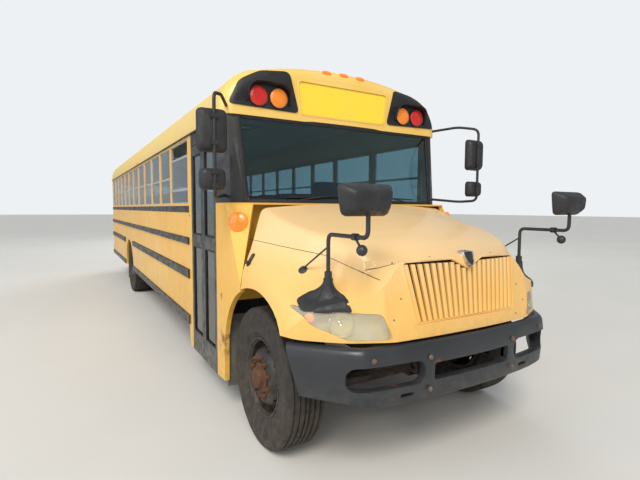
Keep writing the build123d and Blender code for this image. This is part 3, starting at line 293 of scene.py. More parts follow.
    def piece(self, name: str, finish: "Finish", slot: str, body: str = "bus", replaces: Sequence[str] = (),
              bevel: float = 0.0, smooth: float = 32.0, subdivide: int = 0) -> bpy.types.Object:
        """Makes the form into a piece that rides on a body.

        Args:
            name: Name of the piece.
            finish: Its finish.
            slot: The record's material slot; not used.
            body: The body that it moves with.
            replaces: CAD nodes that it stands for.
            bevel: Width of the rounded edges, 0 for none.
            smooth: Angle in degrees under which neighbouring faces shade as one.
            subdivide: Levels of subdivision.

        Returns:
            The object.
        """
        if not self.cut_already:
            bmesh.ops.recalc_face_normals(self.mesh, faces=self.mesh.faces)
        bmesh.ops.dissolve_degenerate(self.mesh, dist=1e-6, edges=self.mesh.edges)
        mesh = bpy.data.meshes.new(name)
        self.mesh.to_mesh(mesh)
        self.mesh.free()
        made = bpy.data.objects.new(name, mesh)
        bpy.context.scene.collection.objects.link(made)
        if bevel:
            rounding = made.modifiers.new("rounding", "BEVEL")
            rounding.width = bevel
            rounding.segments = 2
            rounding.limit_method = "ANGLE"
            rounding.angle_limit = math.radians(max(smooth, 30))
            rounding.use_clamp_overlap = True
        if subdivide:
            levels = made.modifiers.new("subdivide", "SUBSURF")
            levels.levels = levels.render_levels = subdivide
        plain(made)
        made.data.shade_smooth()
        made.data.set_sharp_from_angle(angle=math.radians(smooth))
        return dressed(made, finish, body, replaces)


def plain(made: bpy.types.Object) -> None:
    """Turns an object's modifiers into its mesh.

    Args:
        made: The object, left as it is where it has no modifiers.
    """
    if not made.modifiers:
        return
    depsgraph = bpy.context.evaluated_depsgraph_get()
    result = bpy.data.meshes.new_from_object(made.evaluated_get(depsgraph))
    old = made.data
    made.modifiers.clear()
    made.data = result
    bpy.data.meshes.remove(old)
    result.name = made.name


def dressed(made: bpy.types.Object, finish: "Finish", body: str,
            replaces: Sequence[str] = ()) -> bpy.types.Object:
    """Gives an object its finish and its body, and reports it.

    Args:
        made: The object.
        finish: Its finish.
        body: The body that it moves with.
        replaces: CAD nodes that it stands for.

    Returns:
        The object.
    """
    made.data.materials.clear()
    made.data.materials.append(finish.material())
    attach(made, body)
    if replaces:
        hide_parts(*replaces)
    log.info("%s: %d faces on %s", made.name, len(made.data.polygons), body)
    return made


def softened(path: Sequence[Vector], reach: float, steps: int = 6) -> list[Vector]:
    """Rounds the corners of a route with short quadratic curves.

    Args:
        path: Corner points.
        reach: Distance from each corner at which its curve starts.
        steps: Pieces of each curve.

    Returns:
        The rounded route, with both ends as they were.
    """
    points = [path[0]]
    for before, corner, after in zip(path, path[1:], path[2:]):
        a = corner + (before - corner).normalized() * min(reach, (before - corner).length * CURVE_SHARE)
        b = corner + (after - corner).normalized() * min(reach, (after - corner).length * CURVE_SHARE)
        for step in range(steps + 1):
            share = step / steps
            points.append(a * (1 - share)**2 + corner * 2 * share * (1 - share) + b * share**2)
    return points + [path[-1]]


def softened_loop(corners: Sequence[Vector], reach: float) -> list[Vector]:
    """Rounds every corner of a closed outline.

    Args:
        corners: Corner points in order.
        reach: Distance from each corner at which its curve starts.

    Returns:
        The rounded outline.
    """
    loop = []
    for index in range(len(corners)):
        trio = [corners[index - 1], corners[index], corners[(index + 1) % len(corners)]]
        loop += softened(trio, reach, 4)[1:-1]
    return loop


def arc(centre: Point, radius: float, start: float, stop: float, steps: int) -> list[tuple[float, float]]:
    """Points along an arc between two angles, both ends among them."""
    turns = [start + (stop - start) * index / steps for index in range(steps + 1)]
    return [(centre[0] + radius * math.cos(turn), centre[1] + radius * math.sin(turn)) for turn in turns]


def bowed(half: float, ends: float, middle: float, steps: int) -> list[tuple[float, float]]:
    """Points from -half to half along a shallow bow."""
    shares = [2 * index / steps - 1 for index in range(steps + 1)]
    return [(half * share, middle + (ends - middle) * share**2) for share in shares]


def rounded_box(centre: Point, width: float, height: float, radius: float, steps: int = 5) -> list[Point]:
    """Outline of a rectangle with round corners.

    Args:
        centre: Its middle.
        width: Its whole width.
        height: Its whole height.
        radius: Radius of its corners.
        steps: Pieces of each corner's arc.

    Returns:
        The outline, anticlockwise.
    """
    points = []
    for index, (sx, sy) in enumerate(((1, 1), (-1, 1), (-1, -1), (1, -1))):
        corner = (centre[0] + sx * (width / 2 - radius), centre[1] + sy * (height / 2 - radius))
        points += arc(corner, radius, index * math.pi / 2, (index + 1) * math.pi / 2, steps)
    return points


def section(inset: float, bottom: float) -> list[tuple[float, float]]:
    """The body's outline above a height: straight sides, corner arcs and crown.

    Args:
        inset: Distance by which it is moved inwards.
        bottom: Height at which both sides end.

    Returns:
        Points (x, z) from the left side's foot over the roof to the right one's.
    """
    crown_z = ROOF_TOP - CROWN_R
    tilt = math.atan2(SPRING_Z - crown_z, CORNER_X)
    left = [(HALF - inset, bottom)] + arc((CORNER_X, SPRING_Z), CORNER_R - inset, 0, tilt, 14)
    left += arc((0, crown_z), CROWN_R - inset, tilt, math.pi / 2, 10)[1:]
    return left + [(-x, z) for x, z in left[-2::-1]]


def rounded_end(inset: float, bottom: float, flat: float, opened: float, radius: float) -> Form:
    """Solid of the body's section, closed by a face whose edge is rounded.

    Args:
        inset: Distance by which the section is moved inwards.
        bottom: Height at which its sides end.
        flat: Station of the closing face.
        opened: Station of the other end.
        radius: Radius of the closing face's edge.

    Returns:
        The form.
    """
    inwards = 1 if flat < opened else -1
    turns = [math.pi / 2 * index / 8 for index in range(9)]
    bands = [(flat + inwards * radius * (1 - math.cos(turn)), inset + radius * (1 - math.sin(turn)))
             for turn in turns]
    return Form().loft([[(x, y, z) for x, z in section(drop, bottom)]
                        for y, drop in bands + [(opened, inset)]])


# Finishes

# Noise of the patterns: its roughness, the size of dust specks, and the values between which patches fade in
NOISE_ROUGHNESS = 0.6
SPECK_MM = 60.0
SPECK_EDGE = (0.35, 0.7)
STAIN_EDGE = (0.42, 0.62)
GLOSS_EDGE = (0.3, 0.7)


def linear(code: str) -> tuple[float, float, float, float]:
    """Linear colour of an sRGB hex value."""
    shares = [int(code[index:index + 2], 16) / 255 for index in (1, 3, 5)]
    return tuple([s / 12.92 if s <= 0.04045 else ((s + 0.055) / 1.055)**2.4 for s in shares] + [1.0])


def add_node(tree: Tree, kind: str, inputs: dict | None = None, **settings) -> bpy.types.Node:
    """Adds one node.

    Args:
        tree: The node tree.
        kind: Type of the node.
        inputs: Socket name or index, to a value or to the output socket that it is linked from.
        settings: The node's own settings.

    Returns:
        The node.
    """
    made = tree.nodes.new(kind)
    for name, value in settings.items():
        setattr(made, name, value)
    for key, value in (inputs or {}).items():
        if isinstance(value, Socket):
            tree.links.new(value, made.inputs[key])
        else:
            made.inputs[key].default_value = value
    return made


@dataclass(frozen=True)
class Finish:
    """One real finish: colours, gloss and the sizes of its patterns in millimetres."""

    name: str
    base: str
    faded: str
    patch_mm: float = 400.0
    grain_mm: float = 2.0
    grain_depth_mm: float = 0.08
    roughness: float = 0.45
    rough_swing: float = 0.12
    metallic: float = 0.0
    coat: float = 0.0
    contrast: float = 0.5
    grime: str = "#6E6253"
    grime_low: float = 0.0
    grime_high: float = 0.0
    grime_share: float = 0.0
    stains: tuple = ()
    stain: str = "#7A4526"
    stretch: tuple = (1.0, 1.0, 1.0)
    top_paint_and_light: str = ""
    top_paint_and_light_low: float = 0.0
    top_paint_and_light_high: float = 0.0

    def material(self) -> bpy.types.Material:
        """Makes the material on its first use.

        Returns:
            The material.
        """
        found = bpy.data.materials.get(self.name)
        if found:
            return found
        made = bpy.data.materials.new(self.name)
        made.use_nodes = True
        tree = made.node_tree
        tree.nodes.clear()
        place = add_node(tree, "ShaderNodeTexCoord").outputs["Object"]
        scaled = add_node(tree, "ShaderNodeMapping", {"Vector": place, "Scale": self.stretch}).outputs[0]
        shader = add_node(tree, "ShaderNodeBsdfPrincipled", {
            "Base Color": self.colour(tree, place, scaled), "Roughness": self.gloss(tree, scaled),
            "Normal": self.relief(tree, scaled), "Metallic": self.metallic, "Coat Weight": self.coat})
        self.finishing(shader)
        add_node(tree, "ShaderNodeOutputMaterial", {"Surface": shader.outputs[0]})
        return made

    def finishing(self, shader: bpy.types.Node) -> None:
        """Settings that only some finishes have."""

    def patches(self, tree: Tree, place: Socket, size_mm: float, detail: float,
                edge: tuple[float, float], values: tuple[float, float] = (0.0, 1.0)) -> Socket:
        """Soft-edged patches of a real size.

        Args:
            tree: The node tree.
            place: The coordinates that they lie in.
            size_mm: Size of a patch.
            detail: Finer layers in its edge.
            edge: Noise values at which a patch begins and is full.
            values: What is given outside the patches and in them.

        Returns:
            The value over the surface.
        """
        noise = add_node(tree, "ShaderNodeTexNoise", {
            "Vector": place, "Scale": 1000 / size_mm, "Detail": detail, "Roughness": NOISE_ROUGHNESS})
        return add_node(tree, "ShaderNodeMapRange", {
            "Value": noise.outputs["Fac"], "From Min": edge[0], "From Max": edge[1], "To Min": values[0],
            "To Max": values[1]}, interpolation_type="SMOOTHSTEP").outputs[0]

    def layer(self, tree: Tree, under: Paint, over: str,
              masks: Sequence[Socket | float]) -> Socket:
        """Lays a colour over what is there, where every mask is full.

        Args:
            tree: The node tree.
            under: The colour so far, as a socket or as linear values.
            over: The new colour's hex value.
            masks: Shares that are multiplied.

        Returns:
            The colour over the surface.
        """
        share = masks[0]
        for mask in masks[1:]:
            share = add_node(tree, "ShaderNodeMath", {0: share, 1: mask}, operation="MULTIPLY").outputs[0]
        return add_node(tree, "ShaderNodeMix", {0: share, 6: under, 7: linear(over)},
                        data_type="RGBA").outputs[2]

    def colour(self, tree: Tree, place: Socket,
               scaled: Socket) -> Socket:
        """Base colour with faded patches, a paler top (white roof paint, painted light on the hood), road
        grime and stains.

        Args:
            tree: The node tree.
            place: Object coordinates.
            scaled: The same, stretched along the finish's grain.

        Returns:
            The colour over the surface.
        """
        edge = (0.5 - self.contrast / 2, 0.5 + self.contrast / 2)
        faded = self.patches(tree, scaled, self.patch_mm, 4.0, edge)
        colour = self.layer(tree, linear(self.base), self.faded, [faded])
        height = add_node(tree, "ShaderNodeSeparateXYZ", {0: place}).outputs[2]
        # Paler towards the top: the roof's white paint, and on the hood painted light where the sun falls
        if self.top_paint_and_light:
            above = add_node(tree, "ShaderNodeMapRange", {
                "Value": height, "From Min": self.top_paint_and_light_low, "From Max": self.top_paint_and_light_high},
                interpolation_type="SMOOTHSTEP").outputs[0]
            colour = self.layer(tree, colour, self.top_paint_and_light, [above])
        if self.grime_share:
            below = add_node(tree, "ShaderNodeMapRange", {
                "Value": height, "From Min": self.grime_high, "From Max": self.grime_low},
                interpolation_type="SMOOTHSTEP").outputs[0]
            specks = self.patches(tree, place, SPECK_MM, 8.0, SPECK_EDGE)
            colour = self.layer(tree, colour, self.grime, [below, specks, self.grime_share])
        for x, y, z, reach in self.stains:
            away = add_node(tree, "ShaderNodeVectorMath", {0: place, 1: (x, y, z)}, operation="DISTANCE")
            near = add_node(tree, "ShaderNodeMapRange", {
                "Value": away.outputs[1], "From Min": reach, "From Max": reach * 0.2},
                interpolation_type="SMOOTHSTEP").outputs[0]
            ragged = self.patches(tree, place, 1000 * reach * 0.5, 8.0, STAIN_EDGE)
            colour = self.layer(tree, colour, self.stain, [near, ragged])
        return colour

    def gloss(self, tree: Tree, scaled: Socket) -> Socket:
        """Roughness that varies over patches a third as large as the colour's."""
        swing = (self.roughness - self.rough_swing, self.roughness + self.rough_swing)
        return self.patches(tree, scaled, self.patch_mm / 3, 1.0, GLOSS_EDGE, swing)

    def relief(self, tree: Tree, scaled: Socket) -> Socket:
        """Bump of the grain, as deep as its real depth.

        Args:
            tree: The node tree.
            scaled: Object coordinates, stretched along the grain.

        Returns:
            The normal.
        """
        grain = add_node(tree, "ShaderNodeTexNoise", {
            "Vector": scaled, "Scale": 1000 / self.grain_mm, "Detail": 3.0, "Roughness": NOISE_ROUGHNESS})
        return add_node(tree, "ShaderNodeBump", {
            "Height": grain.outputs["Fac"], "Strength": 0.5,
            "Distance": self.grain_depth_mm / 1000}).outputs[0]


@dataclass(frozen=True)
class Glass(Finish):
    """Tinted safety glass: it lets light through in its tint and mirrors the sky at flat angles."""

    ior: float = 1.45

    def finishing(self, shader: bpy.types.Node) -> None:
        """Full transmission."""
        shader.inputs["Transmission Weight"].default_value = 1.0
        shader.inputs["IOR"].default_value = self.ior


@dataclass(frozen=True)
class ClearCover(Finish):
    """Thin clear plastic: light goes straight through, and its skin shines."""

    alpha: float = 0.25

    def finishing(self, shader: bpy.types.Node) -> None:
        """See-through share."""
        shader.inputs["Alpha"].default_value = self.alpha


@dataclass(frozen=True)
class Lens(Finish):
    """Moulded lamp lens: coloured acrylic with a fine cell pattern pressed into it."""

    cell_mm: float = 12.0
    cell_depth_mm: float = 2.0
    passed: float = 0.25
    painted_reflector_glow: float = 0.0

    def relief(self, tree: Tree, scaled: Socket) -> Socket:
        """Pressed cells."""
        cells = add_node(tree, "ShaderNodeTexVoronoi", {"Vector": scaled, "Scale": 1000 / self.cell_mm})
        return add_node(tree, "ShaderNodeBump", {
            "Height": cells.outputs[0], "Strength": 0.6, "Distance": self.cell_depth_mm / 1000}).outputs[0]

    def finishing(self, shader: bpy.types.Node) -> None:
        """Some light passes the lens; a weak emission in its own colour is painted light for what the
        reflector behind it sends back.
        """
        shader.inputs["Transmission Weight"].default_value = self.passed
        shader.inputs["Emission Color"].default_value = linear(self.base)
        shader.inputs["Emission Strength"].default_value = self.painted_reflector_glow


@dataclass(frozen=True)
class Vinyl(Finish):
    """Coated seat fabric: a fine leather grain under a soft sheen."""

    sheen: float = 0.15
    crease_depth_mm: float = 0.6

    def relief(self, tree: Tree, scaled: Socket) -> Socket:
        """Leather grain as small cells."""
        cells = add_node(tree, "ShaderNodeTexVoronoi", {"Vector": scaled, "Scale": 1000 / self.grain_mm},
                         feature="DISTANCE_TO_EDGE")
        return add_node(tree, "ShaderNodeBump", {
            "Height": cells.outputs[0], "Strength": 0.5, "Distance": self.crease_depth_mm / 1000}).outputs[0]

    def finishing(self, shader: bpy.types.Node) -> None:
        """A little sheen."""
        shader.inputs["Sheen Weight"].default_value = self.sheen


# Bus enamel, baked by years of sun, with road dust over the skirt
BODY_ENAMEL = Finish("BodyEnamel", "#E8AC36", "#EBB84E", 700, 4.0, 0.03, 0.38, 0.05, coat=0.15,
                     grime="#A58A5C", grime_low=0.5, grime_high=1.25, grime_share=0.35,
                     stains=((-HALF, FRONT_AXLE + 0.62, 0.62, 0.16), (-HALF, FRONT_AXLE + 0.66, 1.02, 0.05),
                             (-HALF, DOOR_REAR + 0.1, 1.70, 0.05)))
# The body's enamel on the cap, painted paler as a lit copy: painted light standing in for the sky and the sun
# falling on it
PAINTED_LIGHT_CAP_ENAMEL = Finish("CapEnamel", "#EEC25E", "#F0CA72", 500, 4.0, 0.03, 0.38, 0.05, coat=0.15)
# Gel coat of the glass-fibre hood: yellow, painted lighter cream towards the top as painted light where the
# sun falls; under the crease, in shade, it stays yellow
HOOD_GELCOAT = Finish("HoodGelcoat", "#EDB659", "#EEBE70", 500, 5.0, 0.03, 0.36, 0.05, coat=0.2,
                      top_paint_and_light="#EDC891", top_paint_and_light_low=1.15, top_paint_and_light_high=1.62, grime="#B59A68", grime_low=0.95,
                      grime_high=1.1, grime_share=0.3)
# Roof enamel: pale yellow at the edge, white heat-reflecting paint over the crown
ROOF_ENAMEL = Finish("RoofEnamel", "#E9C770", "#E6C87C", 900, 4.0, 0.03, 0.45, 0.05, top_paint_and_light="#EFEAD8",
                     top_paint_and_light_low=2.80, top_paint_and_light_high=2.90, grime="#8F8770", grime_low=2.5, grime_high=2.62,
                     grime_share=0.25)
# Reflective lemon sheet on the sign board: brighter and yellower than the enamel
SIGN_SHEET = Finish("SignSheet", "#F7DA3A", "#F5D748", 300, 1.2, 0.03, 0.35, 0.05)
# Satin black enamel on rub rails and lamp panels: dust greys it
SATIN_BLACK = Finish("SatinBlackEnamel", "#1B1B1C", "#2A2928", 250, 2.0, 0.05, 0.42, 0.12, grime="#6D665A",
                     grime_low=0.5, grime_high=1.2, grime_share=0.4)
# Moulded black plastic: fine spark-eroded grain, scuffed grey on edges
MOULDED_BLACK = Finish("MouldedBlackPlastic", "#202022", "#2D2D2E", 120, 1.2, 0.12, 0.55, 0.10)
# Bumper steel under black enamel: scuffed, dusty along its lower half
BUMPER_BLACK = Finish("BumperEnamel", "#25272A", "#303236", 500, 2.0, 0.06, 0.42, 0.08, grime="#6F6A61",
                      grime_low=0.55, grime_high=0.80, grime_share=0.22,
                      stains=((-0.33, FRONT_AXLE - 0.98, 0.80, 0.04), (-0.62, FRONT_AXLE - 0.90, 0.70, 0.06)))
# Chassis black: flat wax over steel with rust blooms and mud
CHASSIS_BLACK = Finish("ChassisBlack", "#1E1C1B", "#3A2C22", 80, 3.0, 0.2, 0.7, 0.12, grime="#6B5B48",
                       grime_low=0.2, grime_high=0.9, grime_share=0.5)
# Cast iron of the engine and gearbox: sandy skin with oil film
CAST_IRON = Finish("CastIron", "#3B3A38", "#4B4239", 60, 2.5, 0.4, 0.6, 0.15, metallic=0.5)
# Rolled steel pipe: brown heat scale
EXHAUST_STEEL = Finish("ScaledSteel", "#5A4A3E", "#7A6350", 70, 2.0, 0.15, 0.65, 0.15, metallic=0.6)
# Aluminium fins of the radiator: close grey lines
RADIATOR_FINS = Finish("RadiatorFins", "#4A4C4E", "#2E3032", 30, 3.0, 0.6, 0.55, 0.1, metallic=0.5,
                       stretch=(1.0, 1.0, 12.0))
# Ribbed rubber floor: matt black-grey with worn grey tracks
FLOOR_RUBBER = Finish("RibbedFloorRubber", "#26272A", "#3B3B3C", 180, 4.0, 0.6, 0.75, 0.08,
                      stretch=(6.0, 1.0, 1.0))
# Anodised aluminium of the sashes: pale grey with a silky gloss
ANODISED = Finish("AnodisedAluminium", "#B9BDC0", "#CBCDCC", 90, 1.0, 0.03, 0.38, 0.08, metallic=0.75)
# Tempered glass, lightly tinted blue-grey
TINTED_GLASS = Glass("TintedGlass", "#9FB4BA", "#A9BDC0", 800, 300.0, 0.3, 0.04, 0.02)
# Laminated windscreen with a green-blue body tint
WINDSCREEN_GLASS = Glass("LaminatedGlass", "#7FA6B2", "#8CB0B8", 900, 400.0, 0.3, 0.03, 0.02)
# Clear polycarbonate cover, yellowed by the sun: mostly see-through, with a glossy skin
HEADLAMP_COVER = ClearCover("PolycarbonateCover", "#EFE9D6", "#EAD9A8", 120, 40.0, 0.2, 0.09, 0.05)
# Vacuum-coated reflector bowl: near mirror
REFLECTOR = Finish("CoatedReflector", "#D8DADC", "#C4C6C8", 60, 8.0, 0.3, 0.12, 0.05, metallic=1.0)
# Haze on the inside of an old lamp housing: pale grey plastic under sun-yellowed dust
LAMP_LINER = Finish("HazedLampHousing", "#C6C2B2", "#D8CDA6", 60, 5.0, 0.1, 0.35, 0.08)
# Mirror glass: silvered
MIRROR_GLASS = Finish("SilveredGlass", "#C9D0D4", "#D0D5D8", 200, 30.0, 0.02, 0.04, 0.02, metallic=1.0)
# Bright chrome of the badge rim
CHROME = Finish("Chrome", "#D2D4D6", "#C6C8CA", 50, 5.0, 0.02, 0.12, 0.05, metallic=1.0)
# Zinc-plated fasteners: dull grey where the plating lasts, orange-brown where rust has come through
RUSTY_ZINC = Finish("RustyZinc", "#8A8478", "#7B4A2C", 14, 1.5, 0.2, 0.6, 0.15, metallic=0.5)
# Red acrylic of the stop and tail lamps: deep and wet-looking, with a painted glow standing in for light that
# the reflector sends back
RED_LENS = Lens("RedAcrylic", "#C3180F", "#D2301C", 60, 1.0, 0.05, 0.22, 0.08, coat=0.4, painted_reflector_glow=0.25)
# Amber acrylic of the warning, marker and turn lamps: clear orange with a glossy skin, and the same painted
# glow for the reflector's light
AMBER_LENS = Lens("AmberAcrylic", "#F0821A", "#F59430", 60, 1.0, 0.05, 0.22, 0.08, coat=0.4, painted_reflector_glow=0.25)
# Clear acrylic: near white, with its pressed cells breaking up what lies behind
CLEAR_LENS = Lens("ClearAcrylic", "#E8E8E4", "#F0F0EC", 60, 1.0, 0.05, 0.2, 0.05, coat=0.4)
# Vinyl of the benches: dark grey-green leather grain
SEAT_VINYL = Vinyl("BenchVinyl", "#2D3A3C", "#38484A", 200, 2.5, 0.3, 0.5, 0.08)
# Rubber: soot black that dust turns brown
TYRE_RUBBER = Finish("TyreRubber", "#232120", "#3A342D", 70, 2.0, 0.25, 0.8, 0.08, grime="#6A5C4B",
                     grime_low=0.0, grime_high=1.05, grime_share=0.35)
# Extruded rubber of gaskets and blades: the deepest black, with a dull sheen
GASKET_RUBBER = Finish("GasketRubber", "#111112", "#1C1C1D", 60, 1.5, 0.1, 0.6, 0.1)
# Rubber sheet of the mud flaps: bleached grey, browned by mud towards the foot
FLAP_RUBBER = Finish("FlapRubber", "#55534F", "#6A665F", 120, 3.0, 0.3, 0.8, 0.08, grime="#7A6C58",
                     grime_low=0.2, grime_high=0.9, grime_share=0.5)
# Wheel enamel: black over steel, dusted brown, rust at the hub
WHEEL_ENAMEL = Finish("WheelEnamel", "#1D1B1A", "#332A24", 60, 2.5, 0.12, 0.55, 0.15, grime="#6A5848",
                      grime_low=0.1, grime_high=0.95, grime_share=0.45)
# Bare cast hubs and nuts: dry brown rust with darker patches, hardly any shine
HUB_RUST = Finish("HubRust", "#4A3226", "#6B4429", 30, 2.0, 0.4, 0.75, 0.12, metallic=0.2)
# Gel-coated glass fibre of the roof hatches: chalky off-white
HATCH_FIBRE = Finish("HatchGlassFibre", "#E4E2D8", "#D8D4C4", 150, 1.5, 0.1, 0.5, 0.1)
# Reflective red sheet of the stop sign: strong red, a little faded
STOP_SHEET = Finish("StopSheet", "#B3191B", "#C02424", 200, 1.0, 0.03, 0.35, 0.05)
# Reflective white sheet of the stop sign's border: clean, faintly grey
WHITE_SHEET = Finish("WhiteSheet", "#E9E9E6", "#DEDEDA", 200, 1.0, 0.03, 0.4, 0.05)
# Grained plastic of the dashboard and steering wheel: dark blue-grey, evenly matt
DASH_PLASTIC = Finish("DashPlastic", "#2A2C2F", "#34363A", 150, 1.5, 0.2, 0.6, 0.08)
# Semi-gloss black enamel of the service door: worn greyer in patches, dusty low down
DOOR_BLACK = Finish("DoorEnamel", "#2A2C2C", "#3A3C3A", 220, 2.0, 0.05, 0.4, 0.12, grime="#7A7365",
                    grime_low=0.3, grime_high=1.2, grime_share=0.4)

SLOT_FINISHES = {
    "body_yellow": BODY_ENAMEL, "hood_yellow": HOOD_GELCOAT, "roof_paint": ROOF_ENAMEL,
    "black_paint": SATIN_BLACK, "chassis_black": CHASSIS_BLACK, "engine_iron": CAST_IRON,
    "radiator_core": RADIATOR_FINS, "floor_rubber": FLOOR_RUBBER, "sash_aluminium": ANODISED,
    "window_glass": TINTED_GLASS, "red_lens": RED_LENS, "amber_lens": AMBER_LENS, "clear_lens": CLEAR_LENS,
    "black_plastic": MOULDED_BLACK, "seat_vinyl": SEAT_VINYL, "exhaust_steel": EXHAUST_STEEL,
    "flap_rubber": FLAP_RUBBER, "hatch_white": HATCH_FIBRE, "stop_red": STOP_SHEET,
    "wheel_black": WHEEL_ENAMEL, "tyre": TYRE_RUBBER,
}
NODE_FINISHES = {"service_door_front": DOOR_BLACK, "service_door_rear": DOOR_BLACK, "dashboard": DASH_PLASTIC}


def dress_nodes() -> None:
    """Gives every CAD node the finish of its slot, or its own where it has one."""
    slots = {part["node"]: part["material_slot"] for part in frame["record"]["subparts"]}
    for name, made in frame["nodes"].items():
        finish = NODE_FINISHES.get(name, SLOT_FINISHES[slots[name]])
        if not made.material_slots:
            made.data.materials.append(None)
        for slot in made.material_slots:
            slot.material = finish.material()


# Repeats


class Scatter:
    """Sets one small shape on many points by Geometry Nodes, each turned to its own direction."""

    def __init__(self) -> None:
        """Builds the tree, with the shape, its size and its material as named inputs."""
        self.tree = bpy.data.node_groups.new("Scatter", "GeometryNodeTree")
        sockets = {"Points": "Geometry", "Shape": "Object", "Size": "Float", "Finish": "Material"}
        for name, kind in sockets.items():
            self.tree.interface.new_socket(name, in_out="INPUT", socket_type="NodeSocket" + kind)
        self.tree.interface.new_socket("Pieces", in_out="OUTPUT", socket_type="NodeSocketGeometry")
        given = add_node(self.tree, "NodeGroupInput")
        facing = add_node(self.tree, "GeometryNodeInputNamedAttribute", {"Name": "facing"},
                          data_type="FLOAT_VECTOR")
        turned = add_node(self.tree, "FunctionNodeAlignRotationToVector", {"Vector": facing.outputs[0]},
                          axis="Z")
        shape = add_node(self.tree, "GeometryNodeObjectInfo", {"Object": given.outputs["Shape"]})
        copies = add_node(self.tree, "GeometryNodeInstanceOnPoints", {
            "Points": given.outputs["Points"], "Instance": shape.outputs["Geometry"],
            "Rotation": turned.outputs[0], "Scale": given.outputs["Size"]})
        real = add_node(self.tree, "GeometryNodeRealizeInstances", {0: copies.outputs[0]})
        finished = add_node(self.tree, "GeometryNodeSetMaterial", {
            "Geometry": real.outputs[0], "Material": given.outputs["Finish"]})
        add_node(self.tree, "NodeGroupOutput", {0: finished.outputs[0]})
        self.sockets = {item.name: item.identifier for item in self.tree.interface.items_tree}

    def piece(self, name: str, places: Sequence[tuple[Point, Point]], shape: Form, finish: Finish, slot: str,
              body: str = "bus", size: float = 1.0, replaces: Sequence[str] = ()) -> bpy.types.Object:
        """Makes the copies into one plain piece.

        Args:
            name: Name of the piece.
            places: Point and direction of each copy.
            shape: The shape, standing on the origin along +Z.
            finish: Its finish.
            slot: The record's material slot; not used.
            body: The body that the piece moves with.
            size: Scale of every copy.
            replaces: CAD nodes that the piece stands for.

        Returns:
            The object.
        """
        mesh = bpy.data.meshes.new(name)
        mesh.from_pydata([tuple(point) for point, _ in places], [], [])
        facing = mesh.attributes.new("facing", "FLOAT_VECTOR", "POINT")
        facing.data.foreach_set("vector", [value for _, way in places for value in way])
        bmesh.ops.recalc_face_normals(shape.mesh, faces=shape.mesh.faces)
        sample_mesh = bpy.data.meshes.new("sample")
        shape.mesh.to_mesh(sample_mesh)
        sample = bpy.data.objects.new("sample", sample_mesh)
        made = bpy.data.objects.new(name, mesh)
        for item in (sample, made):
            bpy.context.scene.collection.objects.link(item)
        nodes = made.modifiers.new("scatter", "NODES")
        nodes.node_group = self.tree
        nodes[self.sockets["Shape"]] = sample
        nodes[self.sockets["Size"]] = size
        nodes[self.sockets["Finish"]] = finish.material()
        plain(made)
        bpy.data.objects.remove(sample)
        bpy.data.meshes.remove(sample_mesh)
        made.data.shade_smooth()
        made.data.set_sharp_from_angle(angle=math.radians(40))
        return dressed(made, finish, body, replaces)


def hexagon_nut(across: float, height: float) -> Form:
    """Hexagonal nut on the origin, with a washer face and a stud end.

    Args:
        across: Width over two flats.
        height: Height of the nut.

    Returns:
        The form.
    """
    radius = across / math.sqrt(3)
    washer, stud = radius * 1.25, radius * 0.5
    nut = Form()
    for sides, profile in ((6, [(0, radius), (height * 0.85, radius), (height, radius * 0.86)]),
                           (16, [(0, washer), (height * 0.15, washer)]),
                           (10, [(height, stud), (height * 1.3, stud)])):
        nut.turn(profile, (0, 0, 0), (0, 0, 1), sides, False)
    return nut


def rivet(radius: float) -> Form:
    """Domed rivet head on the origin."""
    profile = [(-0.2 * radius, radius), (0.1 * radius, radius), (0.4 * radius, radius * 0.75),
               (0.5 * radius, radius * 0.3)]
    return Form().turn(profile, (0, 0, 0), (0, 0, 1), 8, False)


# Studio


@dataclass(frozen=True)
class SoftLamp:
    """One square lamp: its place, what it looks at, its power and its colour."""

    name: str
    place: tuple
    target: tuple
    watts: float
    colour: str
    size: float = 9.0

    def build(self) -> None:
        """Makes the lamp."""
        data = bpy.data.lights.new(self.name, "AREA")
        data.size = self.size
        data.energy = self.watts
        data.color = linear(self.colour)[:3]
        made = bpy.data.objects.new(self.name, data)
        aim = Vector(self.target) - Vector(self.place)
        made.matrix_world = Matrix.Translation(self.place) @ aim.to_track_quat("-Z", "Y").to_matrix().to_4x4()
        bpy.context.scene.collection.objects.link(made)


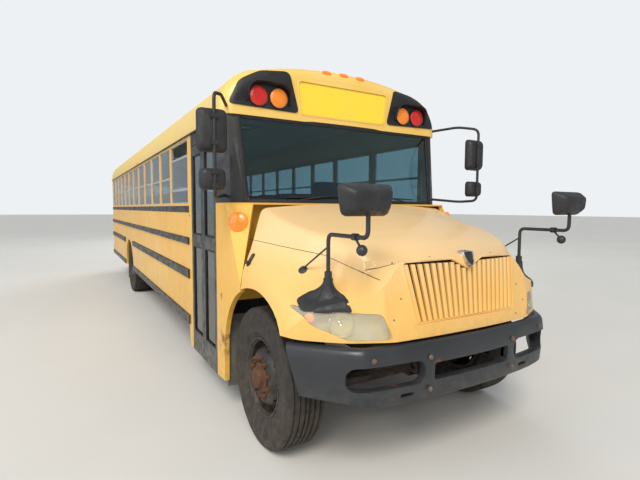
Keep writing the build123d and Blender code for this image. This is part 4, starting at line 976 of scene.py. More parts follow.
@dataclass
class Studio:
    """Camera at the photograph's place, plain floor, soft lamps and a pale world."""

    place: tuple = (-2.337, -7.6905, 1.769)
    yaw_deg: float = 30.264
    pitch_deg: float = -4.138
    roll_deg: float = 0.257
    focal_px: float = 432.7
    width_px: float = 640.0
    sensor_mm: float = 36.0
    far_m: float = 500.0
    floor_reach: float = 120.0
    floor_colour: str = "#D9D6D0"
    floor_faded: str = "#D4D1CB"
    sun_angle_deg: float = 22.0
    sun_strength: float = 1.75
    sun_colour: str = "#FFF8EC"
    sun_way: tuple = (0.42, 0.50, -0.66)
    soft_lamps: tuple = (
        SoftLamp("key_lamp", (-6.0, -15.0, 9.0), (0, -4.0, 1.0), 700, "#FFFAF2"),
        SoftLamp("side_lamp", (-13.0, -3.0, 7.0), (-1.0, 0.0, 1.2), 600, "#F2F6FF"),
        SoftLamp("back_lamp", (8.0, 14.0, 9.0), (0, 3.0, 1.0), 700, "#FFFFFF"))
    sky_light: tuple = ("#DCE8F4", 0.55)
    sky_shown: tuple = ("#EEF1F4", 1.0)

    def camera(self) -> None:
        """Makes the camera and sets it."""
        yaw, pitch, roll = (math.radians(v) for v in (self.yaw_deg, self.pitch_deg, self.roll_deg))
        ahead = Vector((math.sin(yaw) * math.cos(pitch), math.cos(yaw) * math.cos(pitch), math.sin(pitch)))
        level = Vector((math.cos(yaw), -math.sin(yaw), 0))
        upright = level.cross(ahead)
        right = level * math.cos(roll) + upright * math.sin(roll)
        up = upright * math.cos(roll) - level * math.sin(roll)
        data = bpy.data.cameras.new("PhotoCamera")
        data.sensor_width = self.sensor_mm
        data.lens = self.focal_px / self.width_px * self.sensor_mm
        data.clip_end = self.far_m
        made = bpy.data.objects.new("PhotoCamera", data)
        made.matrix_world = Matrix.Translation(self.place) @ Matrix((right, up, -ahead)).transposed().to_4x4()
        bpy.context.scene.collection.objects.link(made)
        bpy.context.scene.camera = made

    def floor(self) -> None:
        """Makes the plain pale floor, staged."""
        mesh = bpy.data.meshes.new("floor_plane")
        reach = self.floor_reach
        corners = [(-reach, -reach, 0), (reach, -reach, 0), (reach, reach, 0), (-reach, reach, 0)]
        mesh.from_pydata(corners, [], [(0, 1, 2, 3)])
        made = bpy.data.objects.new("floor_plane", mesh)
        bpy.context.scene.collection.objects.link(made)
        finish = Finish("StudioFloor", self.floor_colour, self.floor_faded, 3000, 20.0, 0.1, 0.85, 0.05)
        mesh.materials.append(finish.material())

    def lamps(self) -> None:
        """Makes a soft sun from behind the camera, and lamps behind it, on its left and past the bus."""
        sun = bpy.data.lights.new("soft_sun", "SUN")
        sun.angle = math.radians(self.sun_angle_deg)
        sun.energy = self.sun_strength
        sun.color = linear(self.sun_colour)[:3]
        made = bpy.data.objects.new("soft_sun", sun)
        made.matrix_world = Vector(self.sun_way).to_track_quat("-Z", "Y").to_matrix().to_4x4()
        bpy.context.scene.collection.objects.link(made)
        for lamp in self.soft_lamps:
            lamp.build()

    def world(self) -> None:
        """Makes the pale world: dimmer as light than as background."""
        made = bpy.data.worlds.new("PaleWorld")
        made.use_nodes = True
        tree = made.node_tree
        tree.nodes.clear()
        rays = add_node(tree, "ShaderNodeLightPath").outputs
        seen = add_node(tree, "ShaderNodeMath", {0: rays["Is Camera Ray"], 1: rays["Is Transmission Ray"]},
                        operation="MAXIMUM")
        lit, shown = (add_node(tree, "ShaderNodeBackground", {"Color": linear(colour), "Strength": strength})
                      for colour, strength in (self.sky_light, self.sky_shown))
        mixed = add_node(tree, "ShaderNodeMixShader",
                         {0: seen.outputs[0], 1: lit.outputs[0], 2: shown.outputs[0]})
        add_node(tree, "ShaderNodeOutputWorld", {"Surface": mixed.outputs[0]})
        bpy.context.scene.world = made

    def build(self) -> None:
        """Makes the whole studio."""
        self.camera()
        self.floor()
        self.lamps()
        self.world()
        bpy.context.scene.view_settings.view_transform = "Standard"


# Body


@dataclass
class Coachwork:
    """Roof, front cap with its sign board, rear end, and the roof's seams, rivets and drip rails."""

    scatter: Scatter
    roof_shell: float = 0.050
    cap_wall: float = 0.040
    cap_round: float = 0.120
    rear_round: float = 0.040
    hatch_stations: tuple = (FRONT_AXLE + 3.6, FRONT_AXLE + 8.7)
    hatch_half: float = 0.300
    hatch_cut: tuple = (2.8, 3.3)
    curb: float = 0.02
    curb_heights: tuple = (3.045, 3.085)
    sign_half: tuple = (0.470, 0.500)
    sign_heights: tuple = (2.628, 2.912)
    sign_corner: float = 0.035
    sign_rim: tuple = ((0.0, 0.011), (0.002, -0.004), (0.012, -0.006), (0.020, -0.001), (0.018, 0.008))
    seam_width: float = 0.045
    seam_foot: float = ROOF_EDGE + 0.045
    seam_clear: float = 0.45
    drip_lip: tuple = (
        (HALF - 0.002, 2.520), (HALF + 0.014, 2.516), (HALF + 0.018, 2.530), (HALF + 0.012, 2.530),
        (HALF + 0.009, 2.524), (HALF - 0.002, 2.530))
    doorway_half: float = 0.44
    doorway_top: float = 2.48
    rear_window: tuple = (0.765, 2.05, 0.49, 0.70, 0.05)

    def roof(self) -> None:
        """Roof shell with its hatch openings and curbs."""
        thick = section(0, ROOF_EDGE) + section(self.roof_shell, ROOF_EDGE)[::-1]
        shell = Form().loft([[(x, y, z) for x, z in thick] for y in (DOOR_FRONT, WALL_BACK)])
        outer, inner = self.hatch_half + self.curb, self.hatch_half
        low_z, high_z = self.hatch_cut
        foot_z, head_z = self.curb_heights
        for y in self.hatch_stations:
            shell.cut(Form().box((-inner, y - inner, low_z), (inner, y + inner, high_z)))
        for y in self.hatch_stations:
            for low, high in (((-outer, -outer), (outer, -inner)), ((-outer, inner), (outer, outer)),
                              ((-outer, -inner), (-inner, inner)), ((inner, -inner), (outer, inner))):
                shell.join(Form().box((low[0], y + low[1], foot_z), (high[0], y + high[1], head_z)))
        shell.piece("roof_shell", ROOF_ENAMEL, "roof_paint", replaces=["roof"], smooth=20)

    def seams(self) -> None:
        """Lapped joints across the roof at the pillars that no hatch is near, with their rivets."""
        bands, places = Form(), []
        outline = section(-0.0025, self.seam_foot)
        inner = section(0.001, self.seam_foot)[::-1]
        half = self.seam_width / 2
        stations = [FIRST_PILLAR + WINDOW_PITCH * index for index in range(WINDOW_COUNT)]
        stations = [y for y in stations if all(abs(y - hatch) > self.seam_clear
                                               for hatch in self.hatch_stations)]
        for y in stations:
            bands.loft([[(x, y + dy, z) for x, z in outline + inner] for dy in (-half, half)])
            for (x0, z0), (x1, z1) in zip(outline, outline[1:]):
                run = math.hypot(x1 - x0, z1 - z0)
                way = Vector((z0 - z1, 0, x1 - x0)).normalized()
                way = way if way.z > 0 or way.x * x0 > 0 else -way
                if abs(x0) < HALF and run > 0.02:
                    for side in (-1, 1):
                        places.append((((x0 + x1) / 2, y + side * self.seam_width * 0.3, (z0 + z1) / 2), way))
        bands.piece("roof_seams", ROOF_ENAMEL, "roof_paint", smooth=20)
        self.scatter.piece("roof_rivets", places, rivet(0.006), ROOF_ENAMEL, "roof_paint")

    def drip_rails(self) -> None:
        """Black gutters along both edges of the roof."""
        rails = Form().loft([[(x, y, z) for x, z in self.drip_lip] for y in (DOOR_FRONT + 0.02, WALL_BACK)])
        rails.mirrored().piece("drip_rails", SATIN_BLACK, "black_paint", bevel=0.0015)

    def sign_loop(self, grow: float, station: float) -> list[Vector]:
        """Outline of the sign board, wider at its top.

        Args:
            grow: Distance by which it is moved outwards.
            station: Where it stands.

        Returns:
            The outline with rounded corners.
        """
        low, high = self.sign_heights
        foot, head = self.sign_half
        corners = [(-foot - grow, low - grow), (foot + grow, low - grow), (head + grow, high + grow),
                   (-head - grow, high + grow)]
        loop = softened_loop([Vector((x, 0, z)) for x, z in corners], self.sign_corner + max(grow, 0))
        return [point + Vector((0, station, 0)) for point in loop]

    def cap(self) -> None:
        """Front cap with a recess for the sign board, the board and its moulded frame."""
        shell = rounded_end(0, CAP_BOTTOM, CAP_FRONT, DOOR_FRONT, self.cap_round)
        shell.cut(rounded_end(self.cap_wall, CAP_BOTTOM - 0.01, CAP_FRONT + self.cap_wall, DOOR_FRONT + 0.01,
                              self.cap_round - self.cap_wall))
        shell.cut(Form().loft([self.sign_loop(0.0, CAP_FRONT + depth) for depth in (-0.05, 0.012)]))
        # The cap's shell and sign frame take the paler, lit copy of the enamel: painted light
        shell.piece("front_cap_shell", PAINTED_LIGHT_CAP_ENAMEL, "body_yellow", replaces=["front_cap"], smooth=24)
        board = Form().loft([self.sign_loop(-0.002, CAP_FRONT + depth) for depth in (0.006, 0.0125)])
        board.piece("sign_board", SIGN_SHEET, "body_yellow", smooth=30)
        rim = Form().loft([self.sign_loop(grow, CAP_FRONT + depth) for grow, depth in self.sign_rim],
                          wrap=True)
        rim.piece("sign_frame", PAINTED_LIGHT_CAP_ENAMEL, "body_yellow", smooth=50)

    def rear(self) -> None:
        """Rear end with its doorway and windows."""
        shell = rounded_end(0, SKIRT_Z, REAR_FACE, WALL_BACK, self.rear_round)
        shell.cut(Form().box((-self.doorway_half, REAR_FACE - 0.2, FLOOR_Z),
                             (self.doorway_half, REAR_FACE + 0.02, self.doorway_top)))
        x, z, width, height, radius = self.rear_window
        for side in Side:
            shell.cut(Form().prism(rounded_box((side.value * x, z), width, height, radius),
                                   (0, REAR_FACE + 0.05, 0), (0, -0.3, 0), (1, 0, 0), (0, 0, 1)))
        shell.piece("rear_end_shell", BODY_ENAMEL, "body_yellow", replaces=["rear_end"], smooth=24)

    def build(self) -> None:
        """Makes all of it."""
        self.roof()
        self.seams()
        self.drip_rails()
        self.cap()
        self.rear()


@dataclass
class WarningLamps:
    """Dark lamp panels at both ends with visors and round lamps, and the tail, marker and turn lamps."""

    lamp_r: float = 0.089
    lamp_z: float = 2.729
    amber_x: float = 0.706
    red_x: float = 0.895
    tail_x: float = 1.0
    tail_heights: tuple = (("amber", 1.270), ("red", 1.480))
    panel: tuple = ((0.500, 2.625), (0.596, 2.985), (0.860, 2.960), (1.060, 2.850), (1.160, 2.640))
    panel_corner: float = 0.05
    panel_depth: float = 0.008
    visor_radii: tuple = (0.108, 0.101)
    visor_depth: float = 0.075
    visor_rise: float = 0.012
    marker_x: tuple = (-0.190, 0.0, 0.190)
    marker_size: tuple = (0.100, 0.044, 0.0219)
    marker_dome: tuple = ((0, 1), (0.020, 1), (0.030, 0.88), (0.034, 0.6))
    side_marker: tuple = (FRONT_AXLE + 5.5, 2.562)
    turn_r: float = 0.090
    turn_place: tuple = (1.165, FRONT_AXLE + 0.372, 1.661)
    turn_way: tuple = (0.66, -0.74, 0.12)

    def visor_line(self, radius: float) -> list[Point]:
        """Line over one pair of lamps, down to a foot on both sides.

        Args:
            radius: Distance from the lamps' middles.

        Returns:
            Points (x, z).
        """
        foot = self.lamp_z - 0.060
        inner = arc((self.amber_x, self.lamp_z), radius, math.pi / 2, math.pi, 8)
        outer = arc((self.red_x, self.lamp_z), radius, 0, math.pi / 2, 8)
        return [(self.red_x + radius, foot), *outer, *inner, (self.amber_x - radius, foot)]

    def visor(self, side: Side, face: float, ahead: int) -> Form:
        """Hooded rim over one pair of lamps: deep at the top and open below.

        Args:
            side: Side of the bus.
            face: Station that it stands on.
            ahead: Sign of Y that it reaches towards.

        Returns:
            The form.
        """
        outer, inner = (self.visor_line(radius) for radius in self.visor_radii)
        rings = []
        for share in (0.0, 1.0):
            ring = []
            for x, z in outer + inner[::-1]:
                reach = self.visor_depth * (0.45 + 0.55 * min(1.0, max(0.0, (z - self.lamp_z + 0.06) / 0.12)))
                ring.append((side.value * x, face + ahead * reach * share, z + self.visor_rise * share))
            rings.append(ring)
        return Form().loft(rings)

    def lamp(self, lens: Form, bezel: Form, place: Point, way: Point) -> None:
        """Adds one domed lens and its black bezel.

        Args:
            lens: Form of the lenses.
            bezel: Form of the bezels.
            place: Middle of the lamp's back.
            way: Direction that it faces.
        """
        r = self.lamp_r
        lens.turn([(0.0, 0.001), (0.0, r * 0.93), (0.010, r * 0.93), (0.017, r * 0.80), (0.022, r * 0.55),
                   (0.0245, r * 0.25), (0.025, 0.001)], place, way, 40, False)
        bezel.turn([(-0.004, r * 0.90), (-0.004, r), (0.012, r), (0.016, r * 0.97), (0.012, r * 0.92)],
                   place, way, 40)

    def ends(self, lenses: dict[str, Form], bezels: Form) -> None:
        """Makes the panels and visors of both ends, and adds their lamps and the tail lamps.

        Args:
            lenses: Forms of the amber and the red lenses.
            bezels: Form of the bezels.
        """
        panels, visors = Form(), Form()
        ends = ((CAP_FRONT, DOOR_FRONT, CAP_BOTTOM, 0.128, -1), (REAR_FACE, WALL_BACK, SKIRT_Z, 0.048, 1))
        for face, opened, bottom, radius, ahead in ends:
            front = face + ahead * self.panel_depth
            for side in Side:
                skin = rounded_end(-self.panel_depth, bottom, front, opened, radius)
                corners = [Vector((side.value * x, face + 0.15, z)) for x, z in self.panel]
                loop = softened_loop(corners, self.panel_corner)
                skin.kept(Form().loft([loop, [point + Vector((0, -0.3, 0)) for point in loop]]))
                skin.cut(rounded_end(0.001, bottom - 0.1, face - ahead * 0.001, opened - ahead * 0.2,
                                     radius - 0.009))
                panels.join(skin)
                visors.join(self.visor(side, front, ahead))
                for name, x in (("amber", self.amber_x), ("red", self.red_x)):
                    self.lamp(lenses[name], bezels, (side.value * x, front, self.lamp_z), (0, ahead, 0))
        for side in Side:
            for name, z in self.tail_heights:
                self.lamp(lenses[name], bezels, (side.value * self.tail_x, REAR_FACE, z), (0, 1, 0))
        panels.cut_already = True
        panels.piece("lamp_panels", SATIN_BLACK, "black_paint", replaces=["lamp_fields"], smooth=25)
        visors.piece("lamp_visors", SATIN_BLACK, "black_paint", bevel=0.002)

    def markers(self, lenses: dict[str, Form]) -> None:
        """Adds the oval marker lamps over the sign board, over the rear door and along the roof's edges.

        Args:
            lenses: Forms of the amber and the red lenses.
        """
        across = Vector((1, 0, 0))
        for x in self.marker_x:
            sunk = x**2 / (2 * CROWN_R)
            for name, place, way in (("amber", (x, CAP_FRONT + 0.033, 3.040 - sunk), (0, -0.72, 0.69)),
                                     ("red", (x, REAR_FACE + 0.012, 3.012 - sunk), (0, 1, 0))):
                along = Vector(way).normalized()
                up = along.cross(across).normalized()
                rings = [[Vector(place) + along * (depth - 0.016) + across * u * grow + up * v * grow
                          for u, v in rounded_box((0, 0), *self.marker_size, 8)]
                         for depth, grow in self.marker_dome]
                lenses[name].loft(rings)
        y, z = self.side_marker
        for side in Side:
            x = side.value * HALF
            lenses["amber"].loft([[(x + side.value * depth, y + u * grow, z + v * grow)
                                   for u, v in rounded_box((0, 0), 0.078, 0.032, 0.014)]
                                  for depth, grow in ((-0.002, 1), (0.012, 1), (0.018, 0.8))])

    def turn_lamps(self, lens: Form) -> None:
        """Adds the round turn lamps on the cowl's corners.

        Args:
            lens: Form of the amber lenses.
        """
        r = self.turn_r
        profile = [(-0.040, 0.001), (-0.040, r * 0.9), (0.008, r * 0.9), (0.020, r * 0.72), (0.028, r * 0.4),
                   (0.031, 0.001)]
        for side in Side:
            way, centre = ((side.value * x, y, z) for x, y, z in (self.turn_way, self.turn_place))
            lens.turn(profile, centre, Vector(way).normalized(), 40, False)

    def build(self) -> None:
        """Makes all of it."""
        lenses, bezels = {"amber": Form(), "red": Form()}, Form()
        self.ends(lenses, bezels)
        bezels.piece("lamp_bezels", MOULDED_BLACK, "black_plastic")
        self.markers(lenses)
        self.turn_lamps(lenses["amber"])
        lenses["amber"].piece("amber_lenses", AMBER_LENS, "amber_lens", replaces=["amber_lamps"], smooth=25)
        lenses["red"].piece("red_lenses", RED_LENS, "red_lens", replaces=["red_lamps"], smooth=25)


# Nose


@dataclass
class Nose:
    """Tilting hood with its grille, badge, dark lines (joints, and painted shade along the shoulder crease),
    latches and headlamps.

    Stations in the tables are measured from the front axle. A row of `sections` holds the station, the
    crown's height, and the x and z of the shoulder, the waist, the fender and the edge.
    """

    scatter: Scatter
    wall: float = 0.014
    crown_steps: int = 14
    sections: tuple = (
        (0.430, 1.834, 0.995, 1.806, 1.120, 1.540, 1.200, 1.290, 1.219, 1.150),
        (0.000, 1.742, 0.940, 1.665, 1.010, 1.480, 1.180, 1.280, 1.219, 1.130),
        (-0.450, 1.622, 0.830, 1.570, 0.900, 1.350, 1.150, 1.180, 1.219, 0.985),
        (-0.960, 1.455, 0.540, 1.410, 0.700, 1.230, 0.960, 1.120, 1.120, 0.955),
    )
    rear_station: float = 0.430
    length: float = 1.390
    section_count: int = 22
    plan: tuple = ((0.650, -0.925), (0.900, -0.818), (1.150, -0.612), (1.235, -0.470), (1.235, 0.500))
    rear_cut: tuple = (
        (0.357, 1.9), (0.337, COWL_TOP), (0.187, 1.180), (0.175, 1.100), (0.900, 1.100), (0.900, 1.900))
    arch: tuple = (-0.030, 0.550, 0.640)
    grille: tuple = (
        (-0.546, 1.436), (-0.150, 1.446), (0.0, 1.372), (0.150, 1.446), (0.546, 1.436), (0.481, 1.047),
        (-0.481, 1.047))
    grille_rim: tuple = ((1.0, 0.0), (0.985, -0.004), (0.96, 0.0), (0.955, 0.03), (1.0, 0.03))
    grille_z: float = 1.25
    slat_count: int = 20
    slat_half: tuple = (0.464, 0.528)
    slat_foot: float = 1.058
    lamp: tuple = ((0.700, 1.128), (1.150, 1.165), (1.080, 1.060), (0.900, 0.975), (0.645, 0.972))
    overlap: float = 0.040
    shield: tuple = ((0.0, -0.060), (0.030, -0.032), (0.044, 0.008), (0.046, 0.042), (0.0, 0.048))
    joint_and_crease_shade_routes: tuple = (
        ((1.093, 0.325, 1.526), (0.977, -0.094, 1.490), (0.862, -0.456, 1.460), (0.781, -0.646, 1.397),
         (0.674, -0.820, 1.329)),
        ((0.560, -0.830, 1.430), (0.640, -0.780, 1.400), (0.720, -0.720, 1.380)),
        ((0.720, -0.850, 1.150), (0.690, -0.880, 1.150), (0.665, -0.895, 1.165)),
    )
    screw_places: tuple = (
        (0.572, -0.810, 1.428), (0.562, -0.889, 1.211), (0.520, -0.920, 1.000), (0.300, -0.930, 0.990),
        (0.300, -0.860, 1.465), (0.620, -0.860, 1.080))
    latch_place: tuple = (1.136, 0.173, 1.376)
    bowl: tuple = (
        (-0.09, 0.018), (-0.07, 0.055), (-0.02, 0.078), (0.01, 0.083), (0.006, 0.086), (-0.025, 0.082),
        (-0.08, 0.058), (-0.10, 0.018))
    bulb: tuple = ((-0.09, 0.001), (-0.09, 0.016), (-0.03, 0.016), (-0.02, 0.001))

    def between(self, station: float) -> list[float]:
        """The section's values at a station, on smooth curves through the table's rows.

        Args:
            station: Distance behind the front axle.

        Returns:
            The crown's height, then the x and z of each point.
        """
        rows = sorted(self.sections)
        last = len(rows) - 1
        index = max(1, min(last, next((i for i, row in enumerate(rows) if row[0] >= station), last)))
        low, high = rows[index - 1], rows[index]
        before = rows[max(index - 2, 0)]
        after = rows[min(index + 1, last)]
        span = high[0] - low[0]
        share = (station - low[0]) / span
        s2, s3 = share**2, share**3
        values = []
        for k in range(1, len(low)):
            slope_low = (high[k] - before[k]) / (high[0] - before[0]) * span
            slope_high = (after[k] - low[k]) / (after[0] - low[0]) * span
            values.append((2 * s3 - 3 * s2 + 1) * low[k] + (s3 - 2 * s2 + share) * slope_low
                          + (3 * s2 - 2 * s3) * high[k] + (s3 - s2) * slope_high)
        return values

    def outline(self, station: float, inset: float) -> list[tuple[float, float]]:
        """Outline of the hood at a station, with rounded corners.

        Args:
            station: Distance behind the front axle.
            inset: Distance by which it is moved inwards.

        Returns:
            Points (x, z) round the section.
        """
        crown, *half = self.between(station)
        keys = list(zip(half[0::2], half[1::2]))
        below = self.overlap if inset else 0.0
        edge = (min(keys[-1][0], HALF) - inset, keys[-1][1] - below)
        keys = [(min(x, HALF) - inset, z - inset) for x, z in keys[:-1]] + [edge]
        top = bowed(keys[0][0], keys[0][1], crown - inset, self.crown_steps)
        right = softened([Vector((x, 0, z)) for x, z in [top[-3], *keys]], 0.055, 5)
        rounded = [(p.x, p.z) for p in right[1:]]
        return top[3:-3] + [top[-3]] + rounded + [(-x, z) for x, z in rounded[::-1]] + [top[2]]

    def body(self, inset: float) -> Form:
        """Closed form of the hood.

        Args:
            inset: Distance by which every face is moved inwards.

        Returns:
            The form, before the front leans back.
        """
        stations = [self.rear_station - self.length * index / self.section_count
                    for index in range(self.section_count + 1)]
        rings = [[(x, FRONT_AXLE + y, z) for x, z in self.outline(y, inset)] for y in stations]
        if inset:
            rings.insert(0, [(x, y + self.overlap, z) for x, y, z in rings[0]])
        form = Form().loft(rings)
        edge = [(x, FRONT_AXLE + y + inset) for x, y in self.plan]
        nose = bowed(edge[0][0], edge[0][1], FRONT_AXLE - 0.950 + inset, 16)
        right = softened([Vector((x, y, 0)) for x, y in [nose[-2], *edge]], 0.07, 5)[1:]
        right = [(p.x, p.y) for p in right]
        outline = nose[1:-1] + right + [(-x, y) for x, y in right[::-1]]
        return form.kept(Form().prism(outline, (0, 0, 0.8), (0, 0, 1.2), (1, 0, 0), (0, 1, 0)))

    def lean(self, point: Vector) -> Vector:
        """Leans the front face back with height, more at its corners.

        Args:
            point: Place of a point on the upright form.

        Returns:
            Its new place.
        """
        weight = max(0.0, min(1.0, (FRONT_AXLE - 0.62 - point.y) / 0.30))
        weight = weight * weight * (3 - 2 * weight)
        height = max(0.0, point.z - 1.047)
        across = min(1.0, abs(point.x) / 0.60)
        point.y += weight * height * (0.10 + 0.12 * across**2)
        return point

    def front_prism(self, outline: Sequence[Point], round_by: float) -> Form:
        """Prism through the nose.

        Args:
            outline: Points (x, z) seen from the front.
            round_by: Distance from each corner at which its curve starts.

        Returns:
            The form.
        """
        loop = softened_loop([Vector((x, 0, z)) for x, z in outline], round_by)
        return Form().loft([[point + Vector((0, FRONT_AXLE - y, 0)) for point in loop] for y in (0.5, 1.2)])

    def hood(self) -> None:
        """The hood's shell with its openings."""
        shell = self.body(0.0).cut(self.body(self.wall))
        y, z, radius = self.arch
        ring = arc((FRONT_AXLE + y, z), radius, 0, 2 * math.pi, 96)[:-1]
        for outline in ([(FRONT_AXLE + y, z) for y, z in self.rear_cut], ring):
            shell.cut(Form().prism(outline, (-1.3, 0, 0), (2.6, 0, 0), (0, 1, 0), (0, 0, 1)))
        shell.cut(self.front_prism(self.grille, 0.02))
        for side in Side:
            shell.cut(self.front_prism([(side.value * x, z) for x, z in self.lamp], 0.03))
        shell.moulded(self.lean)
        shell.piece("hood_shell", HOOD_GELCOAT, "hood_yellow", "hood", ["hood"], smooth=26)

    def face_y(self, x: float) -> float:
        """Station of the nose's front face at a distance from the middle."""
        return FRONT_AXLE - 0.950 + 0.025 * (x / 0.65)**2

    def slats(self) -> None:
        """Broad upright slats of the grille that fan outwards."""
        bars = Form()
        foot_half, top_half = self.slat_half
        wide = 0.60 * 2 * top_half / self.slat_count / 2
        for index in range(self.slat_count):
            share = (2 * index + 1) / self.slat_count - 1
            head = min(1.428, 1.372 + abs(share * top_half) * 0.074 / 0.150) - 0.010
            rings = []
            for step in range(9):
                rise = step / 8
                z = self.slat_foot + (head - self.slat_foot) * rise
                centre = share * (foot_half + (top_half - foot_half) * rise)
                rings.append([(centre + u, self.face_y(centre) + 0.019 + v, z)
                              for u, v in rounded_box((0, 0), 2 * wide, 0.030, 0.008, 3)])
            bars.loft(rings)
        bars.moulded(self.lean).piece("grille_slats", HOOD_GELCOAT, "hood_yellow", "hood", ["grille"],
                                      smooth=40)

    def grille_frame(self) -> None:
        """Rounded frame of the grille and the dark screen behind its slats."""
        corners = [Vector((x, 0, z)) for x, z in self.grille]
        middle = Vector((0, 0, self.grille_z))
        loops = []
        for grow, depth in self.grille_rim:
            loop = softened_loop([middle + (corner - middle) * grow for corner in corners], 0.02)
            loops.append([(p.x, self.face_y(p.x) + depth, p.z) for p in loop])
        rim = Form().loft(loops, wrap=True).moulded(self.lean)
        rim.piece("grille_rim", HOOD_GELCOAT, "hood_yellow", "hood", smooth=50)
        flat = [(x * 0.97, self.grille_z + (z - self.grille_z) * 0.97) for x, z in self.grille]
        screen = Form().loft([[(x, self.face_y(x) + 0.060 + depth, z) for x, z in flat]
                              for depth in (0, 0.004)])
        screen.moulded(self.lean).piece("grille_shadow_screen", GASKET_RUBBER, "black_plastic", "hood")

    def shield_ring(self, out: float, grow: float) -> list[Vector]:
        """Outline of the badge, leaning back with the face.

        Args:
            out: Distance behind the badge's front.
            grow: Scale of the outline.

        Returns:
            The outline.
        """
        loop = list(self.shield) + [(-x, z) for x, z in self.shield[-2:0:-1]]
        return [Vector((x * grow, FRONT_AXLE - 0.986 + out + (z + 0.06) * 0.30, 1.444 + z * grow))
                for x, z in loop]

    def badge(self) -> None:
        """Bare shield in a chrome rim above the grille's notch."""
        rim = Form().loft([self.shield_ring(*ring) for ring in (
            (0.050, 1.0), (-0.004, 1.0), (-0.004, 0.86), (0.004, 0.84))], wrap=True)
        plate = Form().loft([self.shield_ring(*ring) for ring in ((0.048, 0.9), (0.001, 0.9), (-0.001, 0.7))])
        for form, name, finish in ((rim, "badge_rim", CHROME), (plate, "badge_plate", MOULDED_BLACK)):
            form.moulded(self.lean).piece(name, finish, "hood_yellow", "hood", bevel=0.001)

    def lamp_skin(self, side: Side, outer: float, inner: float, wide: float, tall: float) -> Form:
        """Sheet that follows the hood's face over one lamp.

        Args:
            side: Side of the bus.
            outer: Depth of its face under the hood's.
            inner: Depth of its back.
            wide: Share of the lamp's width.
            tall: Share of the lamp's height.

        Returns:
            The sheet.
        """
        outline = [(side.value * (0.900 + (x - 0.900) * wide), 1.06 + (z - 1.06) * tall)
                   for x, z in self.lamp]
        return self.body(outer).kept(self.front_prism(outline, 0.028)).cut(self.body(inner))

    def surface(self) -> BVHTree:
        """Makes the hood's outer face, to set small pieces on.

        Returns:
            The face as a search tree.
        """
        skin = self.body(0.0)
        bmesh.ops.triangulate(skin.mesh, faces=skin.mesh.faces)
        skin.moulded(self.lean)
        tree = BVHTree.FromBMesh(skin.mesh)
        skin.mesh.free()
        return tree

    def lines(self) -> None:
        """Dark lines on the hood (painted shade along its shoulder crease, moulded joints by the grille and
        lamps), its rubber latches and small screws.
        """
        tree = self.surface()
        seams, latches, screws = Form(), Form(), []
        along = Vector((0, 1, 0))
        for side in Side:
            # Thin black strips sunk into the face: the line along the shoulder crease is painted shade; the
            # short lines by the grille and the lamps are moulded joints
            for route in self.joint_and_crease_shade_routes:
                points = [Vector((side.value * x, FRONT_AXLE + y, z)) for x, y, z in route]
                path = [a.lerp(b, step / 6) for a, b in zip(points, points[1:]) for step in range(6)]
                found = [tree.find_nearest(point) for point in path + [points[-1]]]
                seams.tube([hit - normal * 0.0006 for hit, normal, _, _ in found], 0.0022, 6)
            for x, y, z in self.screw_places:
                hit, normal, _, _ = tree.find_nearest(Vector((side.value * x, FRONT_AXLE + y, z)))
                screws.append((hit - normal * 0.001, normal))
            x, y, z = self.latch_place
            hit, normal, _, _ = tree.find_nearest(Vector((side.value * x, FRONT_AXLE + y, z)))
            upward = normal.cross(along).normalized()
            latches.loft([[hit + along * u * grow + upward * v * grow + normal * depth
                           for u, v in rounded_box((0, 0), 0.028, 0.110, 0.012)]
                          for depth, grow in ((-0.004, 1), (0.010, 1), (0.016, 0.75))])
            latches.loft([[hit + along * u + upward * (v + 0.03) + normal * depth
                           for u, v in rounded_box((0, 0), 0.044, 0.030, 0.008)]
                           for depth in (-0.004, 0.022)])
        seams.piece("hood_seams", GASKET_RUBBER, "hood_yellow", "hood")
        latches.piece("hood_latches", MOULDED_BLACK, "black_plastic", "hood", bevel=0.002)
        self.scatter.piece("hood_screws", screws, rivet(0.007), RUSTY_ZINC, "hood_yellow", "hood")

    def headlamps(self) -> None:
        """Swept covers over a bowl, a bulb shield and an amber corner."""
        covers, bowls, bulbs, corners, liners = Form(), Form(), Form(), Form(), Form()
        for side in Side:
            covers.join(self.lamp_skin(side, 0.001, 0.006, 0.985, 0.975))
            liners.join(self.lamp_skin(side, 0.100, 0.105, 1.20, 1.40))
            place = (side.value * 0.905, FRONT_AXLE - 0.742, 1.063)
            way = (side.value * 0.30, -0.95, 0.05)
            bowls.turn(self.bowl, place, way, 40)
            bulbs.turn(self.bulb, place, way, 20, False)
            corners.turn([(-0.03, 0.001), (-0.03, 0.026), (0.0, 0.030), (0.008, 0.02), (0.01, 0.001)],
                         (side.value * 1.075, FRONT_AXLE - 0.640, 1.100), (side.value * 0.75, -0.66, 0.0), 24,
                         False)
        for form in (liners, covers):
            form.cut_already = True
            form.moulded(self.lean)
        liners.piece("headlamp_liners", LAMP_LINER, "clear_lens", "hood", smooth=30)
        covers.piece("headlamp_covers", HEADLAMP_COVER, "clear_lens", "hood", ["headlamps"], smooth=30)
        bowls.piece("headlamp_bowls", REFLECTOR, "clear_lens", "hood", smooth=40)
        bulbs.piece("headlamp_bulbs", CHROME, "clear_lens", "hood")
        corners.piece("headlamp_corners", AMBER_LENS, "amber_lens", "hood")

    def build(self) -> None:
        """Makes all of it."""
        self.hood()
        self.slats()
        self.grille_frame()
        self.badge()
        self.lines()
        self.headlamps()


